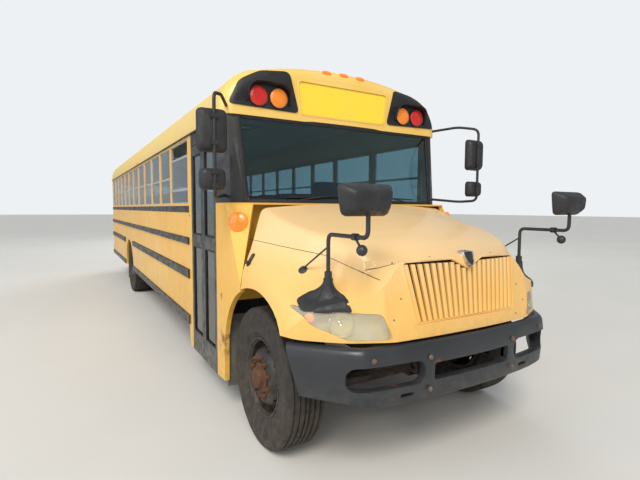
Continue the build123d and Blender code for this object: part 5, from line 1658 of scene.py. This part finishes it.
@dataclass
class Bumpers:
    """Front bumper with its openings and bolts, and the rear bumper."""

    scatter: Scatter
    wall: float = 0.055
    foot: float = 0.565
    height: float = 0.375
    levels: tuple = (
        (0.565, 0.020), (0.570, 0.010), (0.585, 0.002), (0.700, 0.000), (0.835, 0.000), (0.865, 0.004),
        (0.905, 0.010), (0.925, 0.018), (0.936, 0.028), (0.940, 0.040))
    slots: tuple = (
        ((0, 0.745), 0.712, 0.113, 0.02), ((-0.690, 0.757), 0.520, 0.150, 0.06),
        ((0.690, 0.757), 0.520, 0.150, 0.06), ((-0.56, 0.625), 0.10, 0.022, 0.01),
        ((0.56, 0.625), 0.10, 0.022, 0.01))
    wedge: tuple = ((0.56, 0.555), (1.30, 0.660), (1.30, 0.50), (0.56, 0.50))
    rear_half: tuple = ((HALF, REAR_FACE), (HALF, REAR_FACE + 0.030), (1.140, REAR_FACE + 0.090))
    bolts: tuple = (
        (-0.40, 0.992, 0.845), (0.40, 0.992, 0.845), (-0.40, 0.992, 0.640), (0.40, 0.992, 0.640),
        (-0.80, 0.935, 0.870), (0.80, 0.935, 0.870))

    def band(self, z: float, inset: float) -> list[Point]:
        """Closed plan outline of the front bumper at one height.

        Args:
            z: The height.
            inset: Distance by which the outer face is moved inwards.

        Returns:
            The outline.
        """
        share = (z - self.foot) / self.height
        end_x, end_y = 1.150 + 0.069 * share, -0.700 + 0.123 * share
        side_x = 0.850 + 0.050 * share
        nose = bowed(side_x, -0.925, -0.990 - 0.020 * share, 20)
        corner = [Vector((*point, 0)) for point in (nose[-2], nose[-1], (end_x, end_y))]
        right = softened(corner, 0.10, 5)[1:]
        front = [(-p.x, p.y) for p in right[::-1]] + nose[1:-1] + [(p.x, p.y) for p in right]
        outer = [(x * (1 - inset / HALF), FRONT_AXLE + y + inset) for x, y in front]
        inner = [(x * (1 - self.wall / HALF), FRONT_AXLE + y + self.wall) for x, y in front]
        return [(x, y, z) for x, y in outer + inner[::-1]]

    def front(self) -> Form:
        """Front bumper: rolled top and bottom edges, the slots, the raised ends and the brackets.

        Returns:
            The form.
        """
        shell = Form().loft([self.band(z, inset) for z, inset in self.levels])
        outlines = [rounded_box(*slot) for slot in self.slots]
        outlines += [[(side.value * x, z) for x, z in self.wedge] for side in Side]
        for outline in outlines:
            shell.cut(Form().prism(outline, (0, FRONT_AXLE - 1.2, 0), (0, 0.85, 0), (1, 0, 0), (0, 0, 1)))
        for side in Side:
            x = side.value * 0.364
            shell.join(Form().box((x - 0.008, FRONT_AXLE - 0.955, 0.676),
                                  (x + 0.008, FRONT_AXLE - 0.83, 0.930)))
        return shell

    def build(self) -> None:
        """Makes both bumpers and the bolts."""
        rear = [*self.rear_half, *[(-x, y) for x, y in self.rear_half[::-1]]]
        shells = self.front().join(Form().prism(rear, (0, 0, 0.490), (0, 0, 0.260), (1, 0, 0), (0, 1, 0)))
        shells.piece("bumper_shells", BUMPER_BLACK, "black_paint", replaces=["bumpers"], bevel=0.005,
                     smooth=28)
        bolts = [((x, FRONT_AXLE - y, z), (0, -1, 0.05)) for x, y, z in self.bolts]
        self.scatter.piece("bumper_bolts", bolts, hexagon_nut(0.024, 0.012), RUSTY_ZINC, "black_paint")


@dataclass
class Glazing:
    """Windscreen with its rubber and wipers, and the side and rear panes.

    The two rows of the windscreen hold height, half width, station of the corner and depth of the bow.
    """

    screen_foot: tuple = (COWL_TOP, 1.038, FRONT_AXLE + 0.522, 0.160)
    screen_head: tuple = (CAP_BOTTOM, 1.078, FRONT_AXLE + 0.632, 0.012)
    screen_steps: int = 40
    screen_thick: float = 0.006
    wiper_pivots: tuple = ((-0.615, 0.42), (0.617, -0.46))
    sash: float = 0.028
    meeting: float = 0.46
    open_rails: tuple = (0.23, 0.75)
    pane_depths: tuple = (0.023, 0.017)
    driver_foot: float = 1.760
    rear_pane: tuple = ((0.520, REAR_FACE - 0.030, 1.70), (1.010, REAR_FACE - 0.024, 2.40))

    def on_screen(self, across: float, up: float, out: float = 0.0) -> Vector:
        """Point on the windscreen's face.

        Args:
            across: Share across, from -1 to 1.
            up: Share of the height, from 0 to 1.
            out: Distance in front of the glass.

        Returns:
            The point.
        """
        z, half, corner, bow = (low + (high - low) * up
                                for low, high in zip(self.screen_foot, self.screen_head))
        return Vector((half * across, corner - bow * (1 - across**2) - out, z))

    def screen(self) -> None:
        """The windscreen's pane and its rubber."""
        steps = [2 * index / self.screen_steps - 1 for index in range(self.screen_steps + 1)]
        rings = []
        for up in (0.0, 0.25, 0.5, 0.75, 1.0):
            front = [self.on_screen(across, up) for across in steps]
            rings.append(front + [point + Vector((0, self.screen_thick, 0)) for point in front[::-1]])
        Form().loft(rings).piece("windscreen_pane", WINDSCREEN_GLASS, "window_glass", smooth=40)
        loop = [self.on_screen(across, 0.012) for across in steps[:-1]]
        loop += [self.on_screen(0.995, step / 12) for step in range(12)]
        loop += [self.on_screen(-across, 0.988) for across in steps[:-1]]
        loop += [self.on_screen(-0.995, 1 - step / 12) for step in range(12)]
        rings = []
        for index, point in enumerate(loop):
            along = (loop[(index + 1) % len(loop)] - loop[index - 1]).normalized()
            out = Vector((point.x * 0.15, -1, 0.1)).normalized()
            side = along.cross(out).normalized()
            rings.append([point + side * u + out * v
                          for u, v in rounded_box((0, 0.002), 0.044, 0.016, 0.006, 2)])
        Form().loft(rings, wrap=True).piece("windscreen_rubber", GASKET_RUBBER, "black_plastic", smooth=50)

    def wipers(self) -> None:
        """Two wipers at rest along the windscreen's foot."""
        arms, blades = Form(), Form()
        for pivot, reach in self.wiper_pivots:
            base = Vector((pivot, FRONT_AXLE + 0.412, 1.818))
            arms.turn([(0, 0.001), (0, 0.024), (0.022, 0.020), (0.028, 0.001)], base - Vector((0, 0, 0.012)),
                      (0, -0.3, 1), 20, False)
            tip = self.on_screen((pivot + reach * 0.5) / 1.05, 0.075, 0.030)
            knee = base + Vector((reach * 0.12, -0.005, 0.030))
            arms.tube([base + Vector((0, 0, 0.012)), knee, tip], 0.006, 8, 0.03)
            blades.tube([self.on_screen((pivot + reach * share) / 1.05, 0.070 + 0.015 * share, 0.014)
                         for share in (-0.25, 0.2, 0.6, 1.1)], 0.006, 8, 0.03)
        arms.piece("wiper_arms", MOULDED_BLACK, "black_plastic")
        blades.piece("wiper_blades", GASKET_RUBBER, "black_plastic")

    def openings(self, side: Side) -> list[tuple[float, ...]]:
        """Window openings of one side, the service side's first window with its sash let down.

        Args:
            side: Side of the bus.

        Returns:
            Front and rear station, foot, top and the meeting rail's share of the height of each.
        """
        found = []
        for index in range(WINDOW_COUNT):
            start = FIRST_PILLAR + WINDOW_PITCH * (index - 1) + PILLAR_HALF if index else WINDOW_START
            stop = FIRST_PILLAR + WINDOW_PITCH * index - PILLAR_HALF
            top, rail = WINDOW_TOP, self.meeting
            if side is Side.RIGHT and index == 0:
                top = SILL_Z + self.open_rails[1] * (WINDOW_TOP - SILL_Z)
                rail = self.open_rails[0] / self.open_rails[1]
            found.append((start, stop, SILL_Z, top, rail))
        if side is Side.LEFT:
            found.append((DOOR_FRONT + 0.060, DOOR_REAR + 0.060, self.driver_foot, WINDOW_TOP, 0.5))
        return found

    def panes(self) -> None:
        """Side and rear panes."""
        form = Form()
        low_corner, high_corner = self.rear_pane
        for side in Side:
            x0, x1 = (side.value * (HALF - depth) for depth in self.pane_depths)
            for start, stop, low, high, rail in self.openings(side):
                edges = [low, low + rail * (high - low), high]
                for a, b in zip(edges, edges[1:]):
                    form.box((x0, start + self.sash, a + self.sash / 2),
                             (x1, stop - self.sash, b - self.sash / 2))
            form.box((side.value * low_corner[0], *low_corner[1:]),
                     (side.value * high_corner[0], *high_corner[1:]))
        form.piece("fixed_panes", TINTED_GLASS, "window_glass", replaces=["window_glass"])

    def build(self) -> None:
        """Makes all of it."""
        self.screen()
        self.wipers()
        self.panes()


# Running gear


@dataclass(frozen=True)
class WheelSet:
    """One end of an axle.

    Profiles hold the distance outwards from the outer wheel's middle, and the radius.
    """

    body: str
    tyre_node: str
    names: tuple
    axle: float
    middles: tuple
    rim: tuple
    hub: tuple
    nut_x: float
    nut_height: float
    hole_count: int = 0


FRONT_WHEEL = WheelSet(
    "wheel_front", "tyre_front", ("front_tyre", "front_rim", "front_hub", "front_nuts"), FRONT_AXLE, (1.013,),
    ((-0.112, 0.286), (-0.112, 0.293), (-0.106, 0.293), (-0.104, 0.286), (0.104, 0.286), (0.106, 0.293),
     (0.112, 0.293), (0.112, 0.279), (0.100, 0.272), (0.090, 0.262), (0.050, 0.256), (0.034, 0.250),
     (0.032, 0.242), (0.060, 0.225), (0.092, 0.205), (0.112, 0.182), (0.1175, 0.168), (0.118, 0.120),
     (0.112, 0.112), (0.060, 0.112), (0.060, 0.200), (0.020, 0.236), (-0.112, 0.268)),
    ((0.060, 0.001), (0.060, 0.110), (0.122, 0.110), (0.130, 0.098), (0.132, 0.082), (0.150, 0.078),
     (0.163, 0.070), (0.169, 0.050), (0.170, 0.001)), 0.117, 0.026, 10)
REAR_WHEELS = WheelSet(
    "wheels_rear", "tyres_rear", ("rear_tyre_pair", "rear_rims", "rear_hub", "rear_nuts"), REAR_AXLE,
    (0.720, 1.050),
    ((-0.442, 0.286), (0.112, 0.286), (0.112, 0.279), (0.095, 0.268), (0.000, 0.258), (-0.110, 0.250),
     (-0.142, 0.236), (-0.150, 0.218), (-0.150, 0.130), (-0.205, 0.130), (-0.205, 0.240), (-0.442, 0.268)),
    ((-0.205, 0.001), (-0.205, 0.128), (-0.100, 0.118), (-0.060, 0.104), (-0.014, 0.100), (-0.010, 0.088),
     (-0.010, 0.001)), -0.150, 0.030)


@dataclass
class RunningWheels:
    """Tyres with ribbed tread, and steel disc wheels with hubs and nuts."""

    scatter: Scatter
    tyre_half: tuple = (
        (0.100, 0.286), (0.112, 0.300), (0.124, 0.330), (0.128, 0.334), (0.1275, 0.340), (0.134, 0.380),
        (0.1395, 0.420), (0.140, 0.455), (0.1395, 0.472), (0.1375, 0.474), (0.1375, 0.482), (0.1380, 0.486),
        (0.130, 0.506), (0.116, 0.5155), (0.104, 0.5165), (0.102, 0.506), (0.094, 0.506), (0.092, 0.5175),
        (0.062, 0.5185), (0.060, 0.505), (0.051, 0.505), (0.049, 0.5188), (0.022, TYRE_R), (0.020, 0.505),
        (0.011, 0.505), (0.009, TYRE_R))
    hole_circle: float = 0.222
    hole_r: float = 0.017
    nut_count: int = 10
    nut_circle: float = 0.143
    nut_across: float = 0.033

    def wheel(self, side: Side, kit: WheelSet) -> None:
        """One front wheel or one rear pair, with tyres, rim, hub and nuts.

        Args:
            side: Side of the bus.
            kit: What stands there.
        """
        s, label = side.value, side.name.lower()
        body = f"{kit.body}_{label}"
        tyre_name, rim_name, hub_name, nuts_name = (f"{name}_{label}" for name in kit.names)
        centre, across = (0, kit.axle, TYRE_R), (1, 0, 0)
        outer = s * kit.middles[-1]
        tyres = Form()
        profile = [*self.tyre_half, *[(-out, r) for out, r in self.tyre_half[::-1]]]
        for middle in kit.middles:
            tyres.turn([(s * middle + out, r) for out, r in profile], centre, across, 96)
        tyres.piece(tyre_name, TYRE_RUBBER, "tyre", body, [f"{kit.tyre_node}_{label}"], smooth=38)
        rim = Form().turn([(outer + s * out, r) for out, r in kit.rim], centre, across, 72)
        for index in range(kit.hole_count):
            turn = 2 * math.pi * index / kit.hole_count
            y, z = kit.axle + self.hole_circle * math.cos(turn), TYRE_R + self.hole_circle * math.sin(turn)
            hole = [(-0.12, self.hole_r), (0.12, self.hole_r)]
            rim.cut(Form().turn(hole, (outer + s * 0.05, y, z), across, 14, False))
        rim.piece(rim_name, WHEEL_ENAMEL, "wheel_black", body, [body], smooth=30)
        hub = Form().turn([(outer + s * out, r) for out, r in kit.hub], centre, across, 48, False)
        hub.piece(hub_name, HUB_RUST, "wheel_black", body, smooth=30)
        turns = [2 * math.pi * (index + 0.5) / self.nut_count for index in range(self.nut_count)]
        places = [((outer + s * kit.nut_x, kit.axle + self.nut_circle * math.cos(turn),
                    TYRE_R + self.nut_circle * math.sin(turn)), (s, 0.0, 0.0)) for turn in turns]
        self.scatter.piece(nuts_name, places, hexagon_nut(self.nut_across, kit.nut_height), HUB_RUST,
                           "wheel_black", body)

    def build(self) -> None:
        """Makes all of it."""
        for side in Side:
            for kit in (FRONT_WHEEL, REAR_WHEELS):
                self.wheel(side, kit)


# Mirrors


@dataclass
class Mirrors:
    """Cross-view mirrors on the fenders and rear-view mirrors at the corners.

    A ring of the cross-view head holds the distance behind its middle, its width above and below, and its
    height.
    """

    scatter: Scatter
    tube_r: float = 0.013
    foot: tuple = (
        (0.860, -0.795, 1.143), (0.930, -0.745, 1.150), (1.000, -0.715, 1.140), (1.060, -0.675, 1.143),
        (1.125, -0.610, 1.150), (1.110, -0.520, 1.205), (1.010, -0.540, 1.245), (0.930, -0.610, 1.250),
        (0.868, -0.710, 1.215))
    foot_rings: int = 24
    skin: float = 0.010
    stem: tuple = (0.941, FRONT_AXLE - 0.640, 1.336)
    head: tuple = (0.941, FRONT_AXLE - 1.060, 1.817)
    head_rings: tuple = (
        (-0.044, 0.235, 0.20, 0.085), (-0.040, 0.262, 0.222, 0.100), (-0.015, 0.300, 0.255, 0.128),
        (0.020, 0.350, 0.296, 0.165), (0.040, 0.362, 0.306, 0.176), (0.050, 0.358, 0.302, 0.172))
    rear_place: tuple = (1.400, FRONT_AXLE + 0.200)
    rear_heads: tuple = ((2.340, 0.225, 0.318), (1.984, 0.195, 0.160))
    rear_rings: tuple = ((0.006, 0.70), (0.012, 0.82), (0.030, 0.93), (0.055, 0.99), (0.075, 1.0))

    def crossview_foot(self) -> Form:
        """Flared rubber foot that lies on the hood and narrows to the tube's collar.

        Returns:
            The form.
        """
        surface = Nose(self.scatter).surface()
        route = [Vector((x, FRONT_AXLE + y, z)) for x, y, z in (*self.foot, *self.foot[:2])]
        loop = softened(route, 0.03, 4)[1:-1]
        loop = [a.lerp(b, step / 3) for a, b in zip(loop, loop[1:] + loop[:1]) for step in range(3)]
        base = [surface.find_nearest(point)[:2] for point in loop]
        middle = Vector(self.stem)
        rings = [[hit - normal * 0.015 for hit, normal in base]]
        for step in range(self.foot_rings + 1):
            share = (step / self.foot_rings)**1.7
            spread = (1 - share)**2.4
            ring = []
            for hit, normal in base:
                turn = math.atan2(hit.y - middle.y, hit.x - middle.x)
                head = middle + Vector((math.cos(turn), math.sin(turn), 0)) * 0.030
                point = head.lerp(hit + normal * 0.006, spread)
                point.z = (hit.z + normal.z * 0.006) * (1 - share) + head.z * share
                near, outward, _, _ = surface.find_nearest(point)
                if (point - near).dot(outward) < self.skin:
                    point = near + outward * self.skin
                ring.append(point)
            rings.append(ring)
        return Form().loft(rings)

    def crossview_tubes(self) -> Form:
        """Bent tube with its collar, its strut to the hood, and the head's clamp and ball.

        Returns:
            The form.
        """
        x, y, _ = self.stem
        back = FRONT_AXLE - 0.930
        tubes = Form()
        tubes.tube([(x, y, 1.30), (x, y, 1.611), (x, FRONT_AXLE - 1.050, 1.611),
                    (x, FRONT_AXLE - 1.050, 1.760)],
                   self.tube_r, 16, 0.045)
        tubes.turn([(0, 0.001), (0, 0.024), (0.055, 0.024), (0.060, 0.015), (0.060, 0.001)], (x, y, 1.322),
                   (0, 0, 1), 24, False)
        tubes.tube([(x, y, 1.535), (0.958, FRONT_AXLE - 0.400, 1.395), (0.962, FRONT_AXLE - 0.352, 1.362)],
                   0.006, 10)
        tubes.turn([(-0.004, 0.001), (-0.004, 0.032), (0.006, 0.032), (0.011, 0.020), (0.013, 0.001)],
                   (0.965, FRONT_AXLE - 0.350, 1.353), (0.61, -0.35, 0.71), 24, False)
        tubes.turn([(-0.02, 0.001), (-0.02, 0.021), (0.02, 0.021), (0.02, 0.001)], (x, back, 1.611),
                   (0, 1, 0), 20, False)
        tubes.tube([(x, back, 1.605), (x, FRONT_AXLE - 0.985, 1.552)], 0.007, 10)
        turns = [math.pi * (step / 10 - 0.5) for step in range(11)]
        return tubes.turn([(0.032 * math.sin(turn), max(0.001, 0.032 * math.cos(turn))) for turn in turns],
                          (x, FRONT_AXLE - 0.995, 1.540), (0, -0.7, -0.7), 24, False)

    def crossview_head(self) -> tuple[Form, Form]:
        """Bevelled head, wider at its top, with two screws in its back.

        Returns:
            The head and its glass.
        """
        x, y, z = self.head
        rings = []
        for depth, top, low, height in self.head_rings:
            corners = [(-low / 2, -height / 2), (low / 2, -height / 2), (top / 2, height / 2),
                       (-top / 2, height / 2)]
            route = [Vector((u, 0, v)) for u, v in (*corners, *corners[:2])]
            loop = softened(route, min(0.035, height * 0.35), 5)[1:-1]
            rings.append([Vector((x, y + depth, z)) + point for point in loop])
        head = Form().loft(rings)
        for out in (-0.055, 0.055):
            head.turn([(0, 0.001), (0, 0.009), (0.004, 0.008), (0.006, 0.001)],
                      (x + out, y - 0.044, z + 0.008),
                      (0, -1, 0), 12, False)
        glass = [Vector((x, y + 0.050, z)) + Vector(((point.x - x) * 0.93, 0, (point.z - z) * 0.93))
                 for point in rings[-1]]
        return head, Form().loft([glass, [point + Vector((0, 0.0005, 0)) for point in glass]])

    def rearview(self) -> tuple[Form, Form, Form]:
        """Hooked tube with a tall flat head over a small round-cornered one.

        Returns:
            The tubes, the heads and the glasses.
        """
        tubes, heads, glasses = Form(), Form(), Form()
        x, y = self.rear_place
        tubes.tube([(1.150, CAP_FRONT + 0.060, 2.62), (1.290, FRONT_AXLE + 0.380, 2.640), (x, y, 2.600),
                    (x, y, 1.860), (1.330, FRONT_AXLE + 0.380, 1.850), (1.185, FRONT_AXLE + 0.660, 1.880)],
                   self.tube_r, 16, 0.06)
        for z, width, height in self.rear_heads:
            heads.loft([[(x + u * grow, y + depth, z + v * grow)
                         for u, v in rounded_box((0, 0), width, height, 0.038)]
                         for depth, grow in self.rear_rings])
            glasses.loft([[(x + u, y + depth, z + v)
                           for u, v in rounded_box((0, 0), width * 0.92, height * 0.94, 0.032)]
                          for depth in (0.0745, 0.0755)])
            for share in (-0.3, 0.3):
                middle = z + share * height
                tubes.box((x - 0.024, y - 0.014, middle - 0.016), (x + 0.024, y + 0.020, middle + 0.016))
        return tubes, heads, glasses

    def build(self) -> None:
        """Makes all of it on both sides."""
        head, glass = self.crossview_head()
        rear_tubes, rear_heads, rear_glasses = self.rearview()
        for name, form, finish, slot, body, nodes in (
                ("crossview_feet", self.crossview_foot(), MOULDED_BLACK, "black_plastic", "hood", ()),
                ("crossview_tubes", self.crossview_tubes(), BUMPER_BLACK, "black_paint", "hood", ()),
                ("crossview_heads", head, MOULDED_BLACK, "black_plastic", "hood", ["crossview_mirrors"]),
                ("crossview_glasses", glass, MIRROR_GLASS, "black_plastic", "hood", ()),
                ("rearview_tubes", rear_tubes, MOULDED_BLACK, "black_plastic", "bus", ()),
                ("rearview_heads", rear_heads, MOULDED_BLACK, "black_plastic", "bus", ["rearview_mirrors"]),
                ("rearview_glasses", rear_glasses, MIRROR_GLASS, "black_plastic", "bus", ())):
            form.mirrored().piece(name, finish, slot, body, nodes, smooth=34)


# Inside


@dataclass
class Seating:
    """Benches with crowned cushions and padded backs, their frames and the driver's seat.

    A pad's row holds its front and rear station, its foot and head height, its crown and how far its top
    leans back.
    """

    rows: int = 11
    first_row: float = FRONT_AXLE + 2.250
    span: tuple = (0.192, 1.174)
    leg: tuple = (0.222, 0.272)
    bench_pads: tuple = ((0.005, 0.430, 1.385, 1.462, 0.020, 0.0), (0.415, 0.485, 1.470, 1.975, 0.012, 0.050))
    driver_span: tuple = (0.320, 0.800)
    driver_pads: tuple = (
        (1.300, 1.740, 1.410, 1.480, 0.020, 0.0), (1.745, 1.815, 1.460, 2.095, 0.015, 0.060))
    driver_base: tuple = ((0.410, FRONT_AXLE + 1.390, FLOOR_Z), (0.710, FRONT_AXLE + 1.710, 1.400))
    steps: tuple = (8, 5, 4)

    def swollen(self, key: tuple, low: Point, size: Point, crown: float, lean: float) -> Vector:
        """Place of one point of a pad, its top swollen and its foot drawn in.

        Args:
            key: Steps along X, Y and Z.
            low: The pad's lowest corner.
            size: The pad's size.
            crown: Rise of the middle of its top.
            lean: Distance by which its top leans back.

        Returns:
            The place.
        """
        (i, j, k), (nx, ny, nz) = key, self.steps
        u, v, w = 2 * i / nx - 1, 2 * j / ny - 1, 2 * k / nz - 1
        belly = (1 - u**4) * (1 - v**4) * crown
        pull = 0.018 * (1 - max(abs(u), abs(v))**6)
        x = low[0] + size[0] * (i / nx) - u * 0.010 * w**2
        y = low[1] + size[1] * (j / ny) + lean * k / nz
        z = low[2] + size[2] * (k / nz) + (belly if w > 0.9 else 0) - (pull if w < -0.9 else 0)
        return Vector((x, y, z))

    def pad(self, form: Form, span: Point, start: float, row: Point) -> None:
        """Adds one crowned pad.

        Args:
            form: Form of the pads.
            span: Its two ends along X.
            start: Station that its own are measured from.
            row: Its row of a table.
        """
        front, rear, foot, head, crown, lean = row
        low, high = (span[0], start + front, foot), (span[1], start + rear, head)
        size = [b - a for a, b in zip(low, high)]
        nx, ny, nz = self.steps
        quads = [((i, j, k), (i + 1, j, k), (i + 1, j + 1, k), (i, j + 1, k))
                 for i in range(nx) for j in range(ny) for k in (0, nz)]
        for k in range(nz):
            quads += [((i, j, k), (i + 1, j, k), (i + 1, j, k + 1), (i, j, k + 1))
                      for i in range(nx) for j in (0, ny)]
            quads += [((i, j, k), (i, j + 1, k), (i, j + 1, k + 1), (i, j, k + 1))
                      for j in range(ny) for i in (0, nx)]
        grid = {}
        for quad in quads:
            for key in quad:
                if key not in grid:
                    grid[key] = form.mesh.verts.new(self.swollen(key, low, size, crown, lean))
            form.mesh.faces.new([grid[key] for key in quad])

    def build(self) -> None:
        """Makes the benches and the driver's seat."""
        pads, frames = Form(), Form()
        for row in range(self.rows):
            y = self.first_row + WINDOW_PITCH * row
            for side in Side:
                low, high = sorted(side.value * x for x in self.span)
                for values in self.bench_pads:
                    self.pad(pads, (low, high), y, values)
                leg = sorted(side.value * x for x in self.leg)
                frames.box((leg[0], y + 0.060, FLOOR_Z), (leg[1], y + 0.090, 1.385))
                frames.box((leg[0], y + 0.370, FLOOR_Z), (leg[1], y + 0.400, 1.385))
                frames.box((low + 0.02, y + 0.050, 1.372), (high - 0.02, y + 0.410, 1.386))
        for values in self.driver_pads:
            self.pad(pads, self.driver_span, FRONT_AXLE, values)
        frames.box(*self.driver_base)
        made = pads.piece("bench_pads", SEAT_VINYL, "seat_vinyl", replaces=["seats"], smooth=60, subdivide=1)
        frames.piece("bench_frames", CHASSIS_BLACK, "chassis_black", bevel=0.003)


@dataclass
class SteeringWheel:
    """Steering wheel: a round rim, three spokes and a hub."""

    centre: tuple = (0.560, FRONT_AXLE + 1.010, 1.660)
    rim_r: float = 0.215
    grip_r: float = 0.0125
    tilt_deg: float = 35.0
    hub: tuple = ((-0.012, 0.001), (-0.012, 0.050), (0.004, 0.052), (0.012, 0.040), (0.0125, 0.001))
    spoke_turns: tuple = (-0.15, math.pi + 0.15, -math.pi / 2)

    def build(self) -> None:
        """Makes it."""
        tilt = math.radians(self.tilt_deg)
        axis = Vector((0, math.sin(tilt), math.cos(tilt)))
        across = Vector((1, 0, 0))
        up = axis.cross(across).normalized()
        turns = [2 * math.pi * step / 10 for step in range(10)]
        wheel = Form().turn([(self.grip_r * math.cos(turn), self.rim_r + self.grip_r * math.sin(turn))
                             for turn in turns], self.centre, axis, 48)
        wheel.turn(self.hub, self.centre, axis, 32, False)
        for turn in self.spoke_turns:
            way = across * math.cos(turn) + up * math.sin(turn)
            wheel.tube([Vector(self.centre) + way * 0.03, Vector(self.centre) + way * self.rim_r], 0.009, 10)
        wheel.piece("steering_rim", DASH_PLASTIC, "black_plastic", "steering_wheel", ["steering_wheel"],
                    smooth=50)


# Sides


@dataclass
class SideFittings:
    """Rivets of the side walls, the stop sign on its arm and the rubber round the service door's panes."""

    scatter: Scatter
    rivet_heights: tuple = (1.812, 1.700, 1.480, 1.355, 1.138, 0.990)
    rivet_step: float = 0.100
    arch_z: float = 1.15
    arch_half: float = 0.66
    hinge: tuple = (FRONT_AXLE + 1.9, 1.590)
    sign_out: float = 0.340
    sign_flats: float = 0.457
    border: float = 0.020
    blade_x: tuple = (HALF + 0.034, HALF + 0.0415, HALF + 0.042)
    pane_heights: tuple = ((0.497, 1.386), (1.501, 2.300))
    pane_inset: float = 0.048

    def rivets(self) -> None:
        """Rows of rivets along the side walls, left out over the rear wheels."""
        places = []
        for side in Side:
            x = side.value * (HALF + 0.0005)
            y = DOOR_REAR + 0.16
            while y < WALL_BACK - 0.05:
                for z in self.rivet_heights:
                    if z > self.arch_z or abs(y - REAR_AXLE) > self.arch_half:
                        places.append(((x, y, z), (side.value, 0, 0)))
                y += self.rivet_step
        self.scatter.piece("side_rivets", places, rivet(0.0055), BODY_ENAMEL, "body_yellow")

    def octagon(self, radius: float, ends: Point) -> Form:
        """Flat eight-sided plate of the stop sign.

        Args:
            radius: Distance from its middle to a corner.
            ends: X of its two faces.

        Returns:
            The form.
        """
        hinge_y, middle_z = self.hinge
        turns = [math.pi / 8 + math.pi / 4 * index for index in range(8)]
        return Form().loft([[(x, hinge_y + self.sign_out + radius * math.cos(turn),
                              middle_z + radius * math.sin(turn))
                             for turn in turns] for x in ends])

    def stop_sign(self) -> None:
        """Bare red octagon with a white border on its arm."""
        hinge_y, z = self.hinge
        outer = self.sign_flats / 2 / math.cos(math.pi / 8)
        back, mid, front = self.blade_x
        blade = self.octagon(outer, (back + 0.0005, mid - 0.0005))
        blade.box((back, hinge_y, z - 0.060), (mid, hinge_y + 0.160, z + 0.060))
        blade.piece("stop_blade", WHITE_SHEET, "stop_red", "stop_arm", ["stop_arm"], bevel=0.001)
        for name, ends in (("stop_face_outer", (mid - 0.0006, front)),
                           ("stop_face_inner", (back, back + 0.0006))):
            self.octagon(outer - self.border, ends).piece(name, STOP_SHEET, "stop_red", "stop_arm")

    def door_rubber(self) -> None:
        """Rubber frames round the panes of the two door leaves."""
        x = -HALF + 0.0012
        for leaf, low, high in (("front", DOOR_FRONT + 0.006, DOOR_SPLIT - 0.003),
                                ("rear", DOOR_SPLIT + 0.003, DOOR_REAR - 0.006)):
            rubber = Form()
            a, b = low + self.pane_inset, high - self.pane_inset
            for z0, z1 in self.pane_heights:
                for foot, head in (((a, z0), (b, z0 + 0.014)), ((a, z1 - 0.014), (b, z1)),
                                   ((a, z0), (a + 0.012, z1)), ((b - 0.012, z0), (b, z1))):
                    rubber.box((x, *foot), (x + 0.028, *head))
            rubber.piece(f"door_rubber_{leaf}", GASKET_RUBBER, "black_plastic", f"door_leaf_{leaf}",
                         bevel=0.002)

    def build(self) -> None:
        """Makes all of it."""
        self.rivets()
        self.stop_sign()
        self.door_rubber()


def main() -> None:
    """Builds the studio and every sub-assembly in order."""
    logging.basicConfig(level=logging.INFO, format="%(name)s %(message)s")
    Studio().build()
    dress_nodes()
    scatter = Scatter()
    for part in (Coachwork(scatter), WarningLamps(), Nose(scatter), Bumpers(scatter), Glazing(),
                 RunningWheels(scatter), Mirrors(scatter), Seating(), SteeringWheel(), SideFittings(scatter)):
        part.build()
        log.info("built %s", type(part).__name__)


if __name__ == "__main__":
    main()
